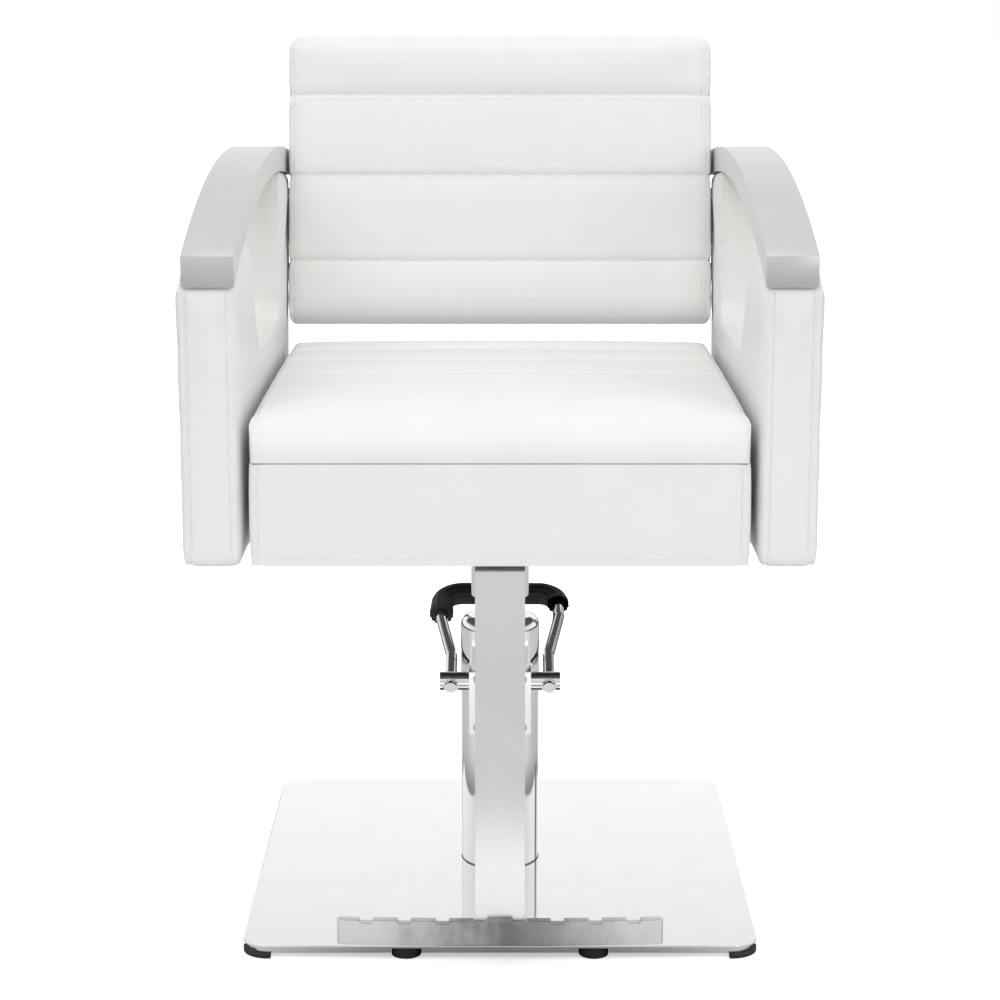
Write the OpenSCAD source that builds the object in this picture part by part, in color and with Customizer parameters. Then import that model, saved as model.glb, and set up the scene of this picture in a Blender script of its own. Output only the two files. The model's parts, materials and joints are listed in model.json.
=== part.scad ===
// Hydraulic styling chair. Millimetres, +Z up, -Y is the front of the chair.
// The origin is on the lift column's axis, at the floor.

/* [Base plate] */
// Side of the square base plate
base_side = 550; // [500:5:620]
// Radius of the base plate's corners
base_corner_r = 28; // [15:1:45]
// Height of the base plate's top above the floor
base_top = 15; // [14:1:20]
// Height of the base cover's lower edge above the floor
base_lip = 5.5; // [5:0.5:6]
// Diameter of each round foot
foot_d = 32; // [26:1:36]
// Distance of the front feet from the middle of their side
foot_offset = 100; // [80:5:160]

/* [Pump] */
// Outer diameter of the pump's tube
tube_d = 88; // [84:1:92]
// Height at which the tube ends and the pump head begins
head_bottom = 216; // [200:1:225]
// Height of the top of the pump head
head_top = 307; // [300:1:312]
// Diameter of the lift ram
ram_d = 40; // [36:1:44]
// How far the ram rises
lift_travel = 150; // [100:5:150]

/* [Pedal] */
// Diameter of the shaft that the pedal turns on
shaft_d = 21.6; // [20:0.2:24]
// Length of that shaft
shaft_length = 136; // [130:1:140]
// Diameter of the pedal's bent rod
rod_d = 13.6; // [12:0.2:14]
// Outer diameter of the rubber grip
grip_d = 25; // [22:1:27]
// Slope of the pedal at rest, in degrees above the floor
pedal_slope = 17.6; // [14:0.2:20]
// Length of the pedal from its shaft to the middle of the grip
pedal_length = 187; // [170:1:190]

/* [Seat] */
// Height of the seat box's lower edge
seat_bottom = 430; // [430:1:432]
// Height of the seam between the seat box and the cushion
seat_seam = 534; // [525:1:540]
// Height of the cushion's crown at its sides
seat_top = 590; // [580:1:600]
// Front face of the seat, as a distance ahead of the column
seat_front = 264; // [255:1:268]
// Rear face of the seat, as a distance behind the column
seat_rear = 246; // [230:1:248]
// Half of the seat's width at the front
seat_half_front = 258.5; // [250:0.5:259]
// Half of the seat's width at the rear
seat_half_rear = 253.5; // [250:0.5:254]

/* [Backrest] */
// Recline of the backrest, in degrees
recline = 12; // [11:0.5:13]
// Height of the backrest's lower front edge
back_bottom = 612; // [610:1:615]
// Distance of that edge behind the column
back_y = 250; // [249:1:252]
// Length of the backrest, along its slope
back_length = 345; // [330:1:360]
// Half of the backrest's width
back_half = 255; // [250:0.5:255.5]
// Thickness of the backrest, board and rear cover included
back_thick = 78; // [76:1:84]

/* [Arms] */
// Inner face of an arm at its front end, from the middle of the chair
arm_inner = 265.5; // [265:0.5:268]
// Thickness of an arm's padding, from its inner to its outer face
arm_thick = 62; // [60:1:64]
// How far the arms close in towards the back, in degrees
arm_toe = 0.62; // [0.5:0.02:0.7]
// Front face of the arms, as a distance ahead of the column
arm_front = 270; // [268:1:272]
// Width of the metal cap on an arm
cap_width = 53.5; // [52:0.5:56]
// Height of the metal cap's side
cap_height = 29.5; // [28:0.5:31]
// Radius of the cap's top, seen from the side
cap_radius = 1188; // [1150:1:1230]
// Height of the cap's highest point
cap_apex = 824.5; // [820:0.5:830]

/* [Footrest] */
// Width of the footrest's stem
stem_width = 52; // [50:1:54]
// Forward lean of the stem, in degrees
stem_lean = 12.18; // [12:0.01:12.4]
// Length of the foot bar
bar_length = 339; // [330:1:345]
// Height of the foot bar's lower edge
bar_bottom = 37.5; // [36:0.5:40]
// Height of the foot bar itself
bar_height = 27; // [25:0.5:28]
// Number of grip notches along the foot bar
notch_count = 8; // [6:2:8]

/* [Hidden] */
$fn = 72;
EPS = 0.01;
FIT = 0.05;   // radial clearance of a running fit
GAP = 0.3;    // clearance between pieces that only lie beside each other

// Base
sheet = 1.4;
plate_low = 7.4;
plate_high = base_top - sheet - 0.2;
flange_low = 3.4;
flange_r = 90;
flange_bolt_pcd = 140;
centre_pad_r = 52;
foot_centre = base_side / 2 - foot_d / 2 - 0.6;
lip_thick = 2.8;
lip_overhang = 4.5;
foot_top = base_top - lip_thick - GAP;
pad_low = 1;
pad_wall = 9;
pad_reach = 31;

// Pump
tube_r = tube_d / 2;
tube_bore = tube_r - 4;
cyl_r = 26;
cyl_bore = 22;
head_r = tube_r + 1;
head_edge = 13;
ram_r = ram_d / 2;
ram_low = 42;
ram_high = 414;
bush_low = 258;
bush_high = head_top - 8;
bush_r = 25;
block_half = 34.5;
block_front = 84;
block_back = 30;
block_low = 190;
block_high = 262;
slot_half = 22;
recess_high = 284;
cover_thick = 3;

// Pedal: a bent rod whose two ends pass through a cross shaft
shaft_r = shaft_d / 2;
shaft_y = -48;
shaft_z = 240.8;
rod_r = rod_d / 2;
rod_half_shaft = 55.5;
rod_half_grip = 69;
rod_bend = 52;
rod_bend_r = 40;
rod_corner = 25;
rod_front = 14;
rod_sides = 24;
grip_bore = rod_r + FIT;
grip_leg = 46;
finger_reach = 24;
finger_ball = 4;
finger_r = 3;
finger_swing = 2.6;   // extra height of the plunger's slot towards the shaft
plunger_y = shaft_y - finger_reach;
plunger_r = 6;
plunger_bore = plunger_r + FIT;
plunger_low = 198;

// Chair
collar_low = 330;
collar_r = 33;
bearing_thick = 4;
mount_high = seat_bottom;
mount_low = mount_high - 6;
mount_side = 210;
mount_pitch = 170;
board_high = seat_bottom + 15;
skirt_wall = 10;
frame_wall = 20;
deck_low = seat_seam - 12;
arc_y = 150;
arc_z = cap_apex - cap_radius;
arm_rear_low = 277;
arm_rear_high = 360;
arm_bottom_r = 14;
core_inset = 11;
core_thick = 24;
cap_wall = 4;
cap_inner = arm_inner + 1.5;
window_low = 622;
arm_bolt_places = [[-190, 480], [40, 480], [205, 480]];
back_bolt_places = [[301, 670], [320, 760]];
cap_screw_places = [105, 195];
bolt_r = 4;

// Backrest: where its board lies in its thickness
board_front = 30;
board_rear = 46;
board_margin = 8;

// Footrest
stem_thick = 8;
stem_top = mount_low;
stem_rear_end = -43;
stem_front_at_seat = -238.6;
stem_straight = 64;
bar_front = 330;
bar_thick = 11;
bar_bow = 5;
notch_pitch = 39.7;
notch_width = 13.5;
notch_depth = 3.2;
footrest_bolt_places = [-62, -90];

white = [0.93, 0.93, 0.92];
steel = [0.8, 0.8, 0.82];
chrome = [0.86, 0.87, 0.89];
satin = [0.72, 0.72, 0.73];
black = [0.09, 0.09, 0.1];
wood = [0.76, 0.63, 0.45];
iron = [0.35, 0.35, 0.37];
brass = [0.75, 0.6, 0.3];

// ---- Helpers ----

// A profile drawn in (Y, Z), carried along X from x0 to x1
module along_x(x0, x1) {
    translate([x0, 0, 0]) rotate([90, 0, 90]) linear_extrude(x1 - x0) children();
}

// A cylinder along X
module x_rod(x0, x1, y, z, r) {
    translate([x0, y, z]) rotate([0, 90, 0]) cylinder(h = x1 - x0, r = r);
}

// A cylinder along Y
module y_rod(y0, y1, x, z, r) {
    translate([x, y0, z]) rotate([-90, 0, 0]) cylinder(h = y1 - y0, r = r);
}

// A plain tube standing on z0
module tube(z0, z1, r_out, r_in) {
    difference() {
        translate([0, 0, z0]) cylinder(h = z1 - z0, r = r_out);
        translate([0, 0, z0 - 1]) cylinder(h = z1 - z0 + 2, r = r_in);
    }
}

// A square slab with round corners
module round_slab(z0, z1, side, r) {
    straight = side - 2 * r;
    translate([0, 0, z0]) linear_extrude(z1 - z0) {
        square([side, straight], center = true);
        square([straight, side], center = true);
        for (x = [-1, 1], y = [-1, 1])
            translate([x * straight / 2, y * straight / 2]) circle(r = r);
    }
}

// A copy on the right side (+X) and a mirrored one on the left
module both_sides() {
    children();
    mirror([1, 0, 0]) children();
}

// A ring of places about the Z axis
module ring_of(count, radius, first = 0) {
    for (i = [0 : count - 1])
        rotate([0, 0, first + i * 360 / count]) translate([radius, 0, 0]) children();
}

// Points of one rounded corner: p is the corner, a and b are its neighbours
function unit(v) = v / norm(v);
function corner_arc(a, p, b, r, steps = 8) =
    let (
        u = unit(a - p),
        v = unit(b - p),
        half = acos(u * v) / 2,
        reach = r / tan(half),
        centre = p + unit(u + v) * r / sin(half),
        from = p + u * reach - centre,
        to = p + v * reach - centre,
        turn = atan2(from.x * to.y - from.y * to.x, from * to)
    )
    [for (i = [0 : steps])
        let (t = turn * i / steps)
        centre + [from.x * cos(t) - from.y * sin(t), from.x * sin(t) + from.y * cos(t)]];
function rounded(points, radii) =
    let (n = len(points))
    [for (i = [0 : n - 1])
        each (radii[i] > 0
            ? corner_arc(points[(i + n - 1) % n], points[i], points[(i + 1) % n], radii[i])
            : [points[i]])];

// ---- Base ----

module foot_places() {
    for (side = [0 : 3], offset = [-1, 1])
        rotate([0, 0, side * 90]) translate([offset * foot_offset, -foot_centre, 0]) children();
}

// Room for a foot: open outwards, so that the rim doesn't hide it
module foot_notch() {
    reach = foot_d / 2 + GAP;
    translate([0, 0, -1]) linear_extrude(foot_top + 1 + GAP) {
        circle(r = reach);
        translate([-reach, -foot_d]) square([2 * reach, foot_d]);
    }
}

module base_cover() {
    color(chrome) difference() {
        union() {
            round_slab(base_top - lip_thick, base_top, base_side, base_corner_r);
            round_slab(base_lip, base_top - 1, base_side - 2 * lip_overhang, base_corner_r - lip_overhang);
        }
        round_slab(base_lip - 1, base_top - sheet, base_side - 2 * (lip_overhang + sheet),
                   base_corner_r - lip_overhang - sheet);
        translate([0, 0, base_lip]) cylinder(h = base_top, r = tube_r + GAP);
        foot_places() foot_notch();
    }
}

module ballast_plate() {
    color(iron) difference() {
        round_slab(plate_low, plate_high, base_side - 2 * (lip_overhang + sheet + GAP),
                   base_corner_r - lip_overhang - sheet - GAP);
        translate([0, 0, plate_low - 1]) cylinder(h = 20, r = tube_r + GAP);
        foot_places() foot_notch();
        ring_of(6, flange_bolt_pcd / 2, 30)
            translate([0, 0, plate_low - 1]) cylinder(h = 20, r = bolt_r + 0.2);
    }
}

module corner_pads() {
    color(black) intersection() {
        difference() {
            round_slab(pad_low, base_lip, base_side, base_corner_r);
            round_slab(0, base_lip + 1, base_side - 2 * pad_wall, base_corner_r - pad_wall);
        }
        for (x = [-1, 1], y = [-1, 1])
            translate([x * base_side / 2, y * base_side / 2, 3]) cube([2 * pad_reach, 2 * pad_reach, 8], center = true);
    }
}

module round_feet() {
    color(black) foot_places() cylinder(h = foot_top, r = foot_d / 2);
}

module centre_pad() {
    color(black) cylinder(h = flange_low, r = centre_pad_r);
}

module pump_flange() {
    color(iron) difference() {
        translate([0, 0, flange_low]) cylinder(h = plate_low - flange_low, r = flange_r);
        ring_of(6, flange_bolt_pcd / 2, 30)
            translate([0, 0, flange_low - 1]) cylinder(h = 10, r = bolt_r + 0.2);
    }
}

module flange_bolts() {
    color(steel) ring_of(6, flange_bolt_pcd / 2, 30) {
        translate([0, 0, 0.8]) cylinder(h = flange_low - 0.8, r = 7, $fn = 6);
        translate([0, 0, flange_low - EPS]) cylinder(h = plate_high - flange_low, r = bolt_r);
    }
}

// ---- Pump ----

module pump_tube() {
    color(chrome) tube(plate_low, head_bottom, tube_r, tube_bore);
}

module foot_valve() {
    color(brass) {
        translate([0, 0, plate_low]) cylinder(h = 10, r = tube_bore - 0.5);
        translate([0, 0, plate_low + 10 - EPS]) cylinder(h = 6, r = cyl_bore);
    }
}

module pressure_cylinder() {
    color(steel) tube(plate_low + 10, bush_low, cyl_r, cyl_bore);
}

// The casting on the tube: a domed body with a square block in front
module pump_head() {
    color(chrome) difference() {
        union() {
            rotate_extrude() polygon(concat(
                [[0, head_bottom], [head_r, head_bottom], [head_r, head_top - head_edge]],
                [for (a = [10 : 10 : 90])
                    [head_r - head_edge + head_edge * cos(a), head_top - head_edge + head_edge * sin(a)]],
                [[0, head_top]]));
            translate([-block_half, -block_front, head_bottom])
                cube([2 * block_half, block_front, block_high - head_bottom]);
            difference() {
                translate([-block_half, -block_front, block_low])
                    cube([2 * block_half, block_front - block_back, head_bottom - block_low + EPS]);
                translate([0, 0, block_low - 1]) cylinder(h = 100, r = tube_r + GAP);
            }
        }
        // Room for the pressure cylinder, the bush, the ram and the wiper
        translate([0, 0, block_low]) cylinder(h = bush_low - block_low, r = cyl_r + GAP);
        translate([0, 0, bush_low - EPS]) cylinder(h = bush_high - bush_low + EPS, r = bush_r);
        translate([0, 0, bush_high - EPS]) cylinder(h = 20, r = bush_r - 1);
        // Recess above the block, and the slot that the finger swings in
        translate([-block_half + 3, -block_front, block_high])
            cube([2 * block_half - 6, block_front - cyl_r - 6, recess_high - block_high]);
        translate([-slot_half, -block_front + 6, shaft_z - 17])
            cube([2 * slot_half, block_front - 6 - cyl_r - 3, 60]);
        x_rod(-80, 80, shaft_y, shaft_z, shaft_r + FIT);
        translate([0, plunger_y, plunger_low - 1]) cylinder(h = 60, r = plunger_bore);
        // Holes for the front cover's screws
        for (x = [-26, 26], z = [block_low + 8, block_high - 8])
            y_rod(-block_front - 1, -block_front + 5, x, z, 2.1);
    }
}

module pump_front_cover() {
    color(chrome) difference() {
        translate([-block_half, -block_front - cover_thick, block_low])
            cube([2 * block_half, cover_thick, block_high - block_low]);
        for (x = [-26, 26], z = [block_low + 8, block_high - 8])
            y_rod(-block_front - 10, -block_front + 1, x, z, 2.2);
    }
}

module front_cover_screws() {
    color(steel) for (x = [-26, 26], z = [block_low + 8, block_high - 8]) {
        y_rod(-block_front - cover_thick - 2, -block_front - cover_thick, x, z, 4);
        y_rod(-block_front - cover_thick - EPS, -block_front + 4.5, x, z, 2);
    }
}

module guide_bush() {
    color(brass) tube(bush_low, bush_high - 2, bush_r, ram_r + FIT);
}

module wiper_seal() {
    color(black) tube(bush_high - 1.5, head_top - 1, bush_r - 1.2, ram_r + FIT);
}

// One torsion spring on each side of the finger
module pedal_springs() {
    wire = 1.1;
    mean = shaft_r + 2.4;
    steps = 20;
    turns = 3.5;
    pitch = 2.9;
    sides = 8;
    last = turns * steps;
    points = [for (i = [0 : last], k = [0 : sides - 1])
        let (
            turn = 360 * i / steps,
            reach = mean + wire * cos(360 * k / sides),
            rise = pitch * i / steps + wire * sin(360 * k / sides)
        )
        [reach * cos(turn), reach * sin(turn), rise]];
    walls = [for (i = [0 : last - 1], k = [0 : sides - 1])
        let (n = (k + 1) % sides)
        [i * sides + k, (i + 1) * sides + k, (i + 1) * sides + n, i * sides + n]];
    caps = [[for (k = [0 : sides - 1]) k], [for (k = [sides - 1 : -1 : 0]) last * sides + k]];
    color(steel) both_sides() translate([slot_half - 13.5, shaft_y, shaft_z]) rotate([0, 90, 0])
        polyhedron(points = points, faces = concat(walls, caps), convexity = 8);
}

// ---- Ram ----

module lift_ram() {
    color(chrome) translate([0, 0, ram_low]) cylinder(h = ram_high - ram_low, r = ram_r);
}

module piston() {
    color(steel) difference() {
        translate([0, 0, ram_low - 18]) cylinder(h = 18, r = cyl_bore - FIT);
        translate([0, 0, ram_low - 12]) difference() {
            cylinder(h = 6, r = cyl_bore + 1);
            translate([0, 0, -1]) cylinder(h = 8, r = cyl_bore - 4);
        }
    }
}

module piston_seal() {
    color(black) tube(ram_low - 12, ram_low - 6, cyl_bore - FIT, cyl_bore - 4);
}

// ---- Pedal ----

// Places things in the pedal's own frame: the shaft is its X axis, Y runs along the lever
module in_pedal() {
    translate([0, shaft_y, shaft_z]) rotate([pedal_slope, 0, 0]) children();
}

module flat_bar(a, b, r) {
    run = b - a;
    translate([a.x, a.y, 0]) rotate([0, 0, atan2(run.y, run.x)]) rotate([0, 90, 0])
        cylinder(h = norm(run), r = r);
}

module bend(r) {
    translate([rod_half_grip - rod_corner, pedal_length - rod_corner, 0])
        rotate_extrude(angle = 90) translate([rod_corner, 0]) circle(r = r);
}

module cross_shaft() {
    color(chrome) difference() {
        x_rod(-shaft_length / 2, shaft_length / 2, shaft_y, shaft_z, shaft_r);
        both_sides() in_pedal() {
            translate([rod_half_shaft, -20, 0]) rotate([-90, 0, 0]) cylinder(h = 40, r = rod_r + FIT);
            translate([rod_half_shaft, -20, 0]) rotate([-90, 0, 0]) cylinder(h = 12.6, r = rod_r + 2);
        }
        both_sides() x_rod(rod_half_shaft, 90, shaft_y, shaft_z, 3);
    }
}

module pump_finger() {
    color(iron) difference() {
        union() {
            x_rod(-6, 6, shaft_y, shaft_z, shaft_r + 4);
            translate([0, shaft_y, shaft_z]) rotate([90, 0, 0]) cylinder(h = finger_reach, r = finger_r);
            translate([0, plunger_y, shaft_z]) sphere(r = finger_ball);
        }
        x_rod(-10, 10, shaft_y, shaft_z, shaft_r);
    }
}

// A round rod whose middle line is a flat path of (X, Y) points
module swept_rod(path, r) {
    last = len(path) - 1;
    function heading(i) = unit(path[min(i + 1, last)] - path[max(i - 1, 0)]);
    points = [for (i = [0 : last], k = [0 : rod_sides - 1])
        let (
            h = heading(i),
            across = r * cos(360 * k / rod_sides),
            up = r * sin(360 * k / rod_sides)
        )
        [path[i].x + h.y * across, path[i].y - h.x * across, up]];
    walls = [for (i = [0 : last - 1], k = [0 : rod_sides - 1])
        let (n = (k + 1) % rod_sides)
        [i * rod_sides + k, (i + 1) * rod_sides + k, (i + 1) * rod_sides + n, i * rod_sides + n]];
    ends = [[for (k = [0 : rod_sides - 1]) k],
            [for (k = [rod_sides - 1 : -1 : 0]) last * rod_sides + k]];
    polyhedron(points = points, faces = concat(walls, ends), convexity = 6);
}

module pedal_rod() {
    right = [[rod_half_shaft, -rod_front], [rod_half_shaft, rod_bend],
             [rod_half_grip, pedal_length - grip_leg - 8], [rod_half_grip, pedal_length]];
    left = [for (i = [3 : -1 : 0]) [-right[i].x, right[i].y]];
    color(chrome) in_pedal()
        swept_rod(rounded(concat(right, left),
            [0, rod_bend_r, rod_bend_r, rod_corner, rod_corner, rod_bend_r, rod_bend_r, 0]), rod_r);
}

// One leg, one corner and half of the cross bar of the grip's outside or its bore
module grip_half(r, extra) {
    flat_bar([rod_half_grip, pedal_length - grip_leg - extra],
             [rod_half_grip, pedal_length - rod_corner + EPS], r);
    bend(r);
    flat_bar([-EPS, pedal_length], [rod_half_grip - rod_corner + EPS, pedal_length], r);
}

module pedal_grip() {
    color(black) in_pedal() difference() {
        both_sides() grip_half(grip_d / 2, 0);
        both_sides() grip_half(grip_bore, 1);
    }
}

module rod_set_screws() {
    color(iron) both_sides() x_rod(rod_half_shaft + rod_r, shaft_length / 2 - 1, shaft_y, shaft_z, 2.95);
}

module plunger() {
    head_low = shaft_z - finger_ball - 5;
    head_high = shaft_z + finger_ball + 5;
    color(steel) difference() {
        translate([0, plunger_y, plunger_low]) cylinder(h = head_high - plunger_low, r = plunger_r);
        translate([-20, plunger_y - finger_ball - 2 * GAP, shaft_z - finger_ball - GAP])
            cube([40, 20, 2 * (finger_ball + GAP)]);
        translate([-20, plunger_y + 1.5, shaft_z - finger_ball - finger_swing])
            cube([40, 20, 2 * (finger_ball + finger_swing)]);
        translate([0, plunger_y, plunger_low + 6]) difference() {
            cylinder(h = 4, r = plunger_r + 1);
            translate([0, 0, -1]) cylinder(h = 6, r = plunger_r - 2);
        }
    }
}

module plunger_seal() {
    color(black) translate([0, plunger_y, plunger_low + 6]) difference() {
        cylinder(h = 4, r = plunger_r);
        translate([0, 0, -1]) cylinder(h = 6, r = plunger_r - 2);
    }
}

// ---- Chair: swivel ----

module thrust_bearing() {
    color(steel) tube(ram_high, ram_high + bearing_thick, ram_r - 1, 8);
}

module swivel_collar() {
    color(chrome) difference() {
        union() {
            translate([0, 0, collar_low]) cylinder(h = mount_low - collar_low, r = collar_r);
            translate([0, 0, mount_low - 14]) cylinder(h = 14, r1 = collar_r, r2 = collar_r + 8);
        }
        translate([0, 0, collar_low - 1]) cylinder(h = ram_high + bearing_thick - collar_low + 1, r = ram_r + FIT);
    }
}

module mount_plate() {
    color(iron) difference() {
        translate([0, 0, mount_low]) linear_extrude(mount_high - mount_low)
            difference() {
                square(mount_side, center = true);
                for (x = [-1, 1], y = [-1, 1])
                    translate([x * mount_side / 2, y * mount_side / 2]) rotate([0, 0, 45])
                        square(24, center = true);
            }
        for (x = [-1, 1], y = [-1, 1])
            translate([x * mount_pitch / 2, y * mount_pitch / 2, mount_low - 1]) cylinder(h = 10, r = bolt_r + 0.2);
        for (y = footrest_bolt_places)
            translate([0, y, mount_low - 1]) cylinder(h = 10, r = bolt_r + 0.2);
    }
}

module mount_bolts() {
    color(steel) for (x = [-1, 1], y = [-1, 1])
        translate([x * mount_pitch / 2, y * mount_pitch / 2, 0]) {
            translate([0, 0, mount_low - 5]) cylinder(h = 5, r = 7, $fn = 6);
            translate([0, 0, mount_low - EPS]) cylinder(h = board_high - 1 - mount_low, r = bolt_r);
        }
}

// ---- Chair: seat ----

// Outline of the seat seen from above, drawn in by inset
module seat_plan(inset) {
    polygon([
        [-seat_half_front + inset, -seat_front + inset], [seat_half_front - inset, -seat_front + inset],
        [seat_half_rear - inset, seat_rear - inset], [-seat_half_rear + inset, seat_rear - inset]
    ]);
}

module seat_ring(z0, z1, outer, inner) {
    translate([0, 0, z0]) linear_extrude(z1 - z0) difference() {
        seat_plan(outer);
        seat_plan(inner);
    }
}

module arm_bolt_holes(r) {
    both_sides() for (place = arm_bolt_places)
        x_rod(200, 305, place[0], place[1], r);
}

module seat_board() {
    color(wood) difference() {
        translate([0, 0, seat_bottom]) linear_extrude(board_high - seat_bottom) seat_plan(skirt_wall);
        for (x = [-1, 1], y = [-1, 1])
            translate([x * mount_pitch / 2, y * mount_pitch / 2, seat_bottom - 1]) cylinder(h = 20, r = bolt_r + 0.2);
        for (y = footrest_bolt_places)
            translate([0, y, seat_bottom - 1]) cylinder(h = 20, r = bolt_r + 0.2);
    }
}

module seat_frame() {
    color(wood) difference() {
        seat_ring(board_high, seat_seam, skirt_wall, skirt_wall + frame_wall);
        arm_bolt_holes(bolt_r + 0.2);
    }
}

module seat_deck() {
    color(wood) translate([0, 0, deck_low]) linear_extrude(seat_seam - deck_low)
        seat_plan(skirt_wall + frame_wall);
}

module seat_skirt() {
    color(white) difference() {
        seat_ring(seat_bottom, seat_seam, 0, skirt_wall);
        arm_bolt_holes(bolt_r + 0.6);
    }
}

module seat_cushion() {
    front_r = 42;
    color(white) intersection() {
        translate([0, 0, seat_seam]) linear_extrude(100) seat_plan(0);
        along_x(-300, 300) polygon(rounded(
            [[-seat_front, seat_seam], [seat_rear, seat_seam], [seat_rear, seat_top - 4], [-seat_front, seat_top]],
            [0, 0, 16, front_r]));
    }
}

// ---- Chair: footrest ----

module footrest_stem() {
    front_low = stem_front_at_seat - (seat_bottom - stem_straight) * tan(stem_lean);
    front_high = stem_front_at_seat - (seat_bottom - stem_top) * tan(stem_lean);
    depth = stem_thick / cos(stem_lean);
    inner_high = front_high - stem_thick * tan(stem_lean) + depth;
    color(satin) difference() {
        along_x(-stem_width / 2, stem_width / 2) polygon(rounded(
            [[stem_rear_end, stem_top], [front_high, stem_top], [front_low, stem_straight],
             [front_low, bar_bottom + 1], [front_low + depth, bar_bottom + 1],
             [front_low + depth, stem_straight], [inner_high, stem_top - stem_thick],
             [stem_rear_end, stem_top - stem_thick]],
            [0, 14, 0, 0, 0, 0, 6, 0]));
        for (y = footrest_bolt_places)
            translate([0, y, stem_top - 20]) cylinder(h = 30, r = bolt_r + 0.2);
    }
}

module foot_bar() {
    bow_r = (bar_length * bar_length / 4) / (2 * bar_bow);
    end_r = bar_thick / 2;
    straight = bar_length / 2 - end_r;
    mid_r = bow_r - end_r;
    end_turn = asin(straight / mid_r);
    color(satin) difference() {
        translate([0, bow_r - bar_front, bar_bottom]) linear_extrude(bar_height) {
            intersection() {
                difference() {
                    circle(r = bow_r, $fn = 400);
                    circle(r = bow_r - bar_thick, $fn = 400);
                }
                translate([-straight, -bow_r - 1]) square([2 * straight, bow_r / 2]);
            }
            for (side = [-1, 1])
                rotate([0, 0, side * end_turn]) translate([0, -mid_r]) circle(r = end_r);
        }
        for (i = [0 : notch_count - 1])
            translate([(i - (notch_count - 1) / 2) * notch_pitch - notch_width / 2, -bar_front - 5,
                       bar_bottom + bar_height - notch_depth])
                cube([notch_width, 40, 10]);
    }
}

module footrest_bolts() {
    color(steel) for (y = footrest_bolt_places) translate([0, y, 0]) {
        translate([0, 0, stem_top - stem_thick - 5]) cylinder(h = 5, r = 7, $fn = 6);
        translate([0, 0, stem_top - stem_thick - EPS]) cylinder(h = board_high - 1 - stem_top + stem_thick, r = bolt_r);
    }
}

// ---- Chair: backrest ----

// The backrest's own frame: Y runs back through it and Z up along it
module in_back() {
    translate([0, back_y, back_bottom]) rotate([-recline, 0, 0]) children();
}

module back_layer(y0, y1, half, z0, z1, front_r, rear_r) {
    along_x(-half, half) polygon(rounded(
        [[y0, z0], [y1, z0], [y1, z1], [y0, z1]], [front_r, rear_r, rear_r, front_r]));
}

module back_bolt_holes(r, x0, x1) {
    both_sides() for (place = back_bolt_places)
        x_rod(x0, x1, place[0], place[1], r);
}

module back_pad() {
    color(white) difference() {
        in_back() difference() {
            back_layer(0, board_rear, back_half, 0, back_length, 18, 4);
            back_layer(board_front, board_rear + 1, back_half - board_margin,
                       board_margin, back_length - board_margin, 0, 0);
        }
        back_bolt_holes(bolt_r + 0.6, 240, 300);
    }
}

module back_board() {
    color(wood) difference() {
        in_back() back_layer(board_front, board_rear, back_half - board_margin,
                             board_margin, back_length - board_margin, 0, 0);
        back_bolt_holes(bolt_r + 0.2, 228, 300);
    }
}

module back_cover() {
    color(white) in_back() back_layer(board_rear, back_thick, back_half, 2, back_length - 2, 0, 14);
}

// ---- Chair: arms ----

function arc_height(y, r) = arc_z + sqrt(r * r - (y - arc_y) * (y - arc_y));
function rear_at(z) = arm_rear_low + (z - seat_bottom) * (arm_rear_high - arm_rear_low) / (cap_apex - seat_bottom);

// Everything of an arm is drawn straight, then closed in towards the back
module place_arm() {
    translate([arm_inner, -arm_front, 0]) rotate([0, 0, arm_toe]) translate([-arm_inner, arm_front, 0])
        children();
}

// Side view of the arm's body, drawn in by inset, up to the arc of radius top_r
module arm_side(inset, top_r, bottom) {
    intersection() {
        polygon(rounded(
            [[-arm_front + inset, bottom], [rear_at(bottom) - inset, bottom],
             [rear_at(900) - inset, 900], [-arm_front + inset, 900]],
            [inset > 0 ? 0 : arm_bottom_r, inset > 0 ? 0 : arm_bottom_r, 0, 0]));
        translate([arc_y, arc_z]) circle(r = top_r, $fn = 720);
    }
}

// Side view of the window under the cap, made larger by grow
module arm_window(grow) {
    polygon(rounded(
        [[-150 - grow * 1.2, 778], [-32 - grow * 1.2, window_low - grow],
         [208 + grow, window_low - grow], [248 + grow, 880], [-150 - grow * 1.2, 880]],
        [0, 30, 22, 0, 0]));
}

module arm_core_side() {
    difference() {
        arm_side(core_inset, cap_radius - cap_height, seat_bottom);
        arm_window(core_inset);
    }
}

module arm_frame() {
    middle = arm_inner + arm_thick / 2;
    color(wood) difference() {
        place_arm() union() {
            along_x(middle - core_thick / 2, middle + core_thick / 2) arm_core_side();
            along_x(cap_inner + cap_wall + GAP, cap_inner + cap_width - cap_wall - GAP)
                difference() {
                    arm_side(cap_wall + GAP, cap_radius - cap_wall - GAP, 640);
                    translate([arc_y, arc_z]) circle(r = cap_radius - cap_height, $fn = 720);
                }
        }
        for (place = arm_bolt_places)
            x_rod(200, 305, place[0], place[1], bolt_r + 0.2);
        for (place = back_bolt_places)
            x_rod(200, 340, place[0], place[1], bolt_r + 0.2);
        for (y = cap_screw_places)
            place_arm() translate([cap_inner + cap_width / 2, y, 700]) cylinder(h = 130, r = 2.5);
    }
}

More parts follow.
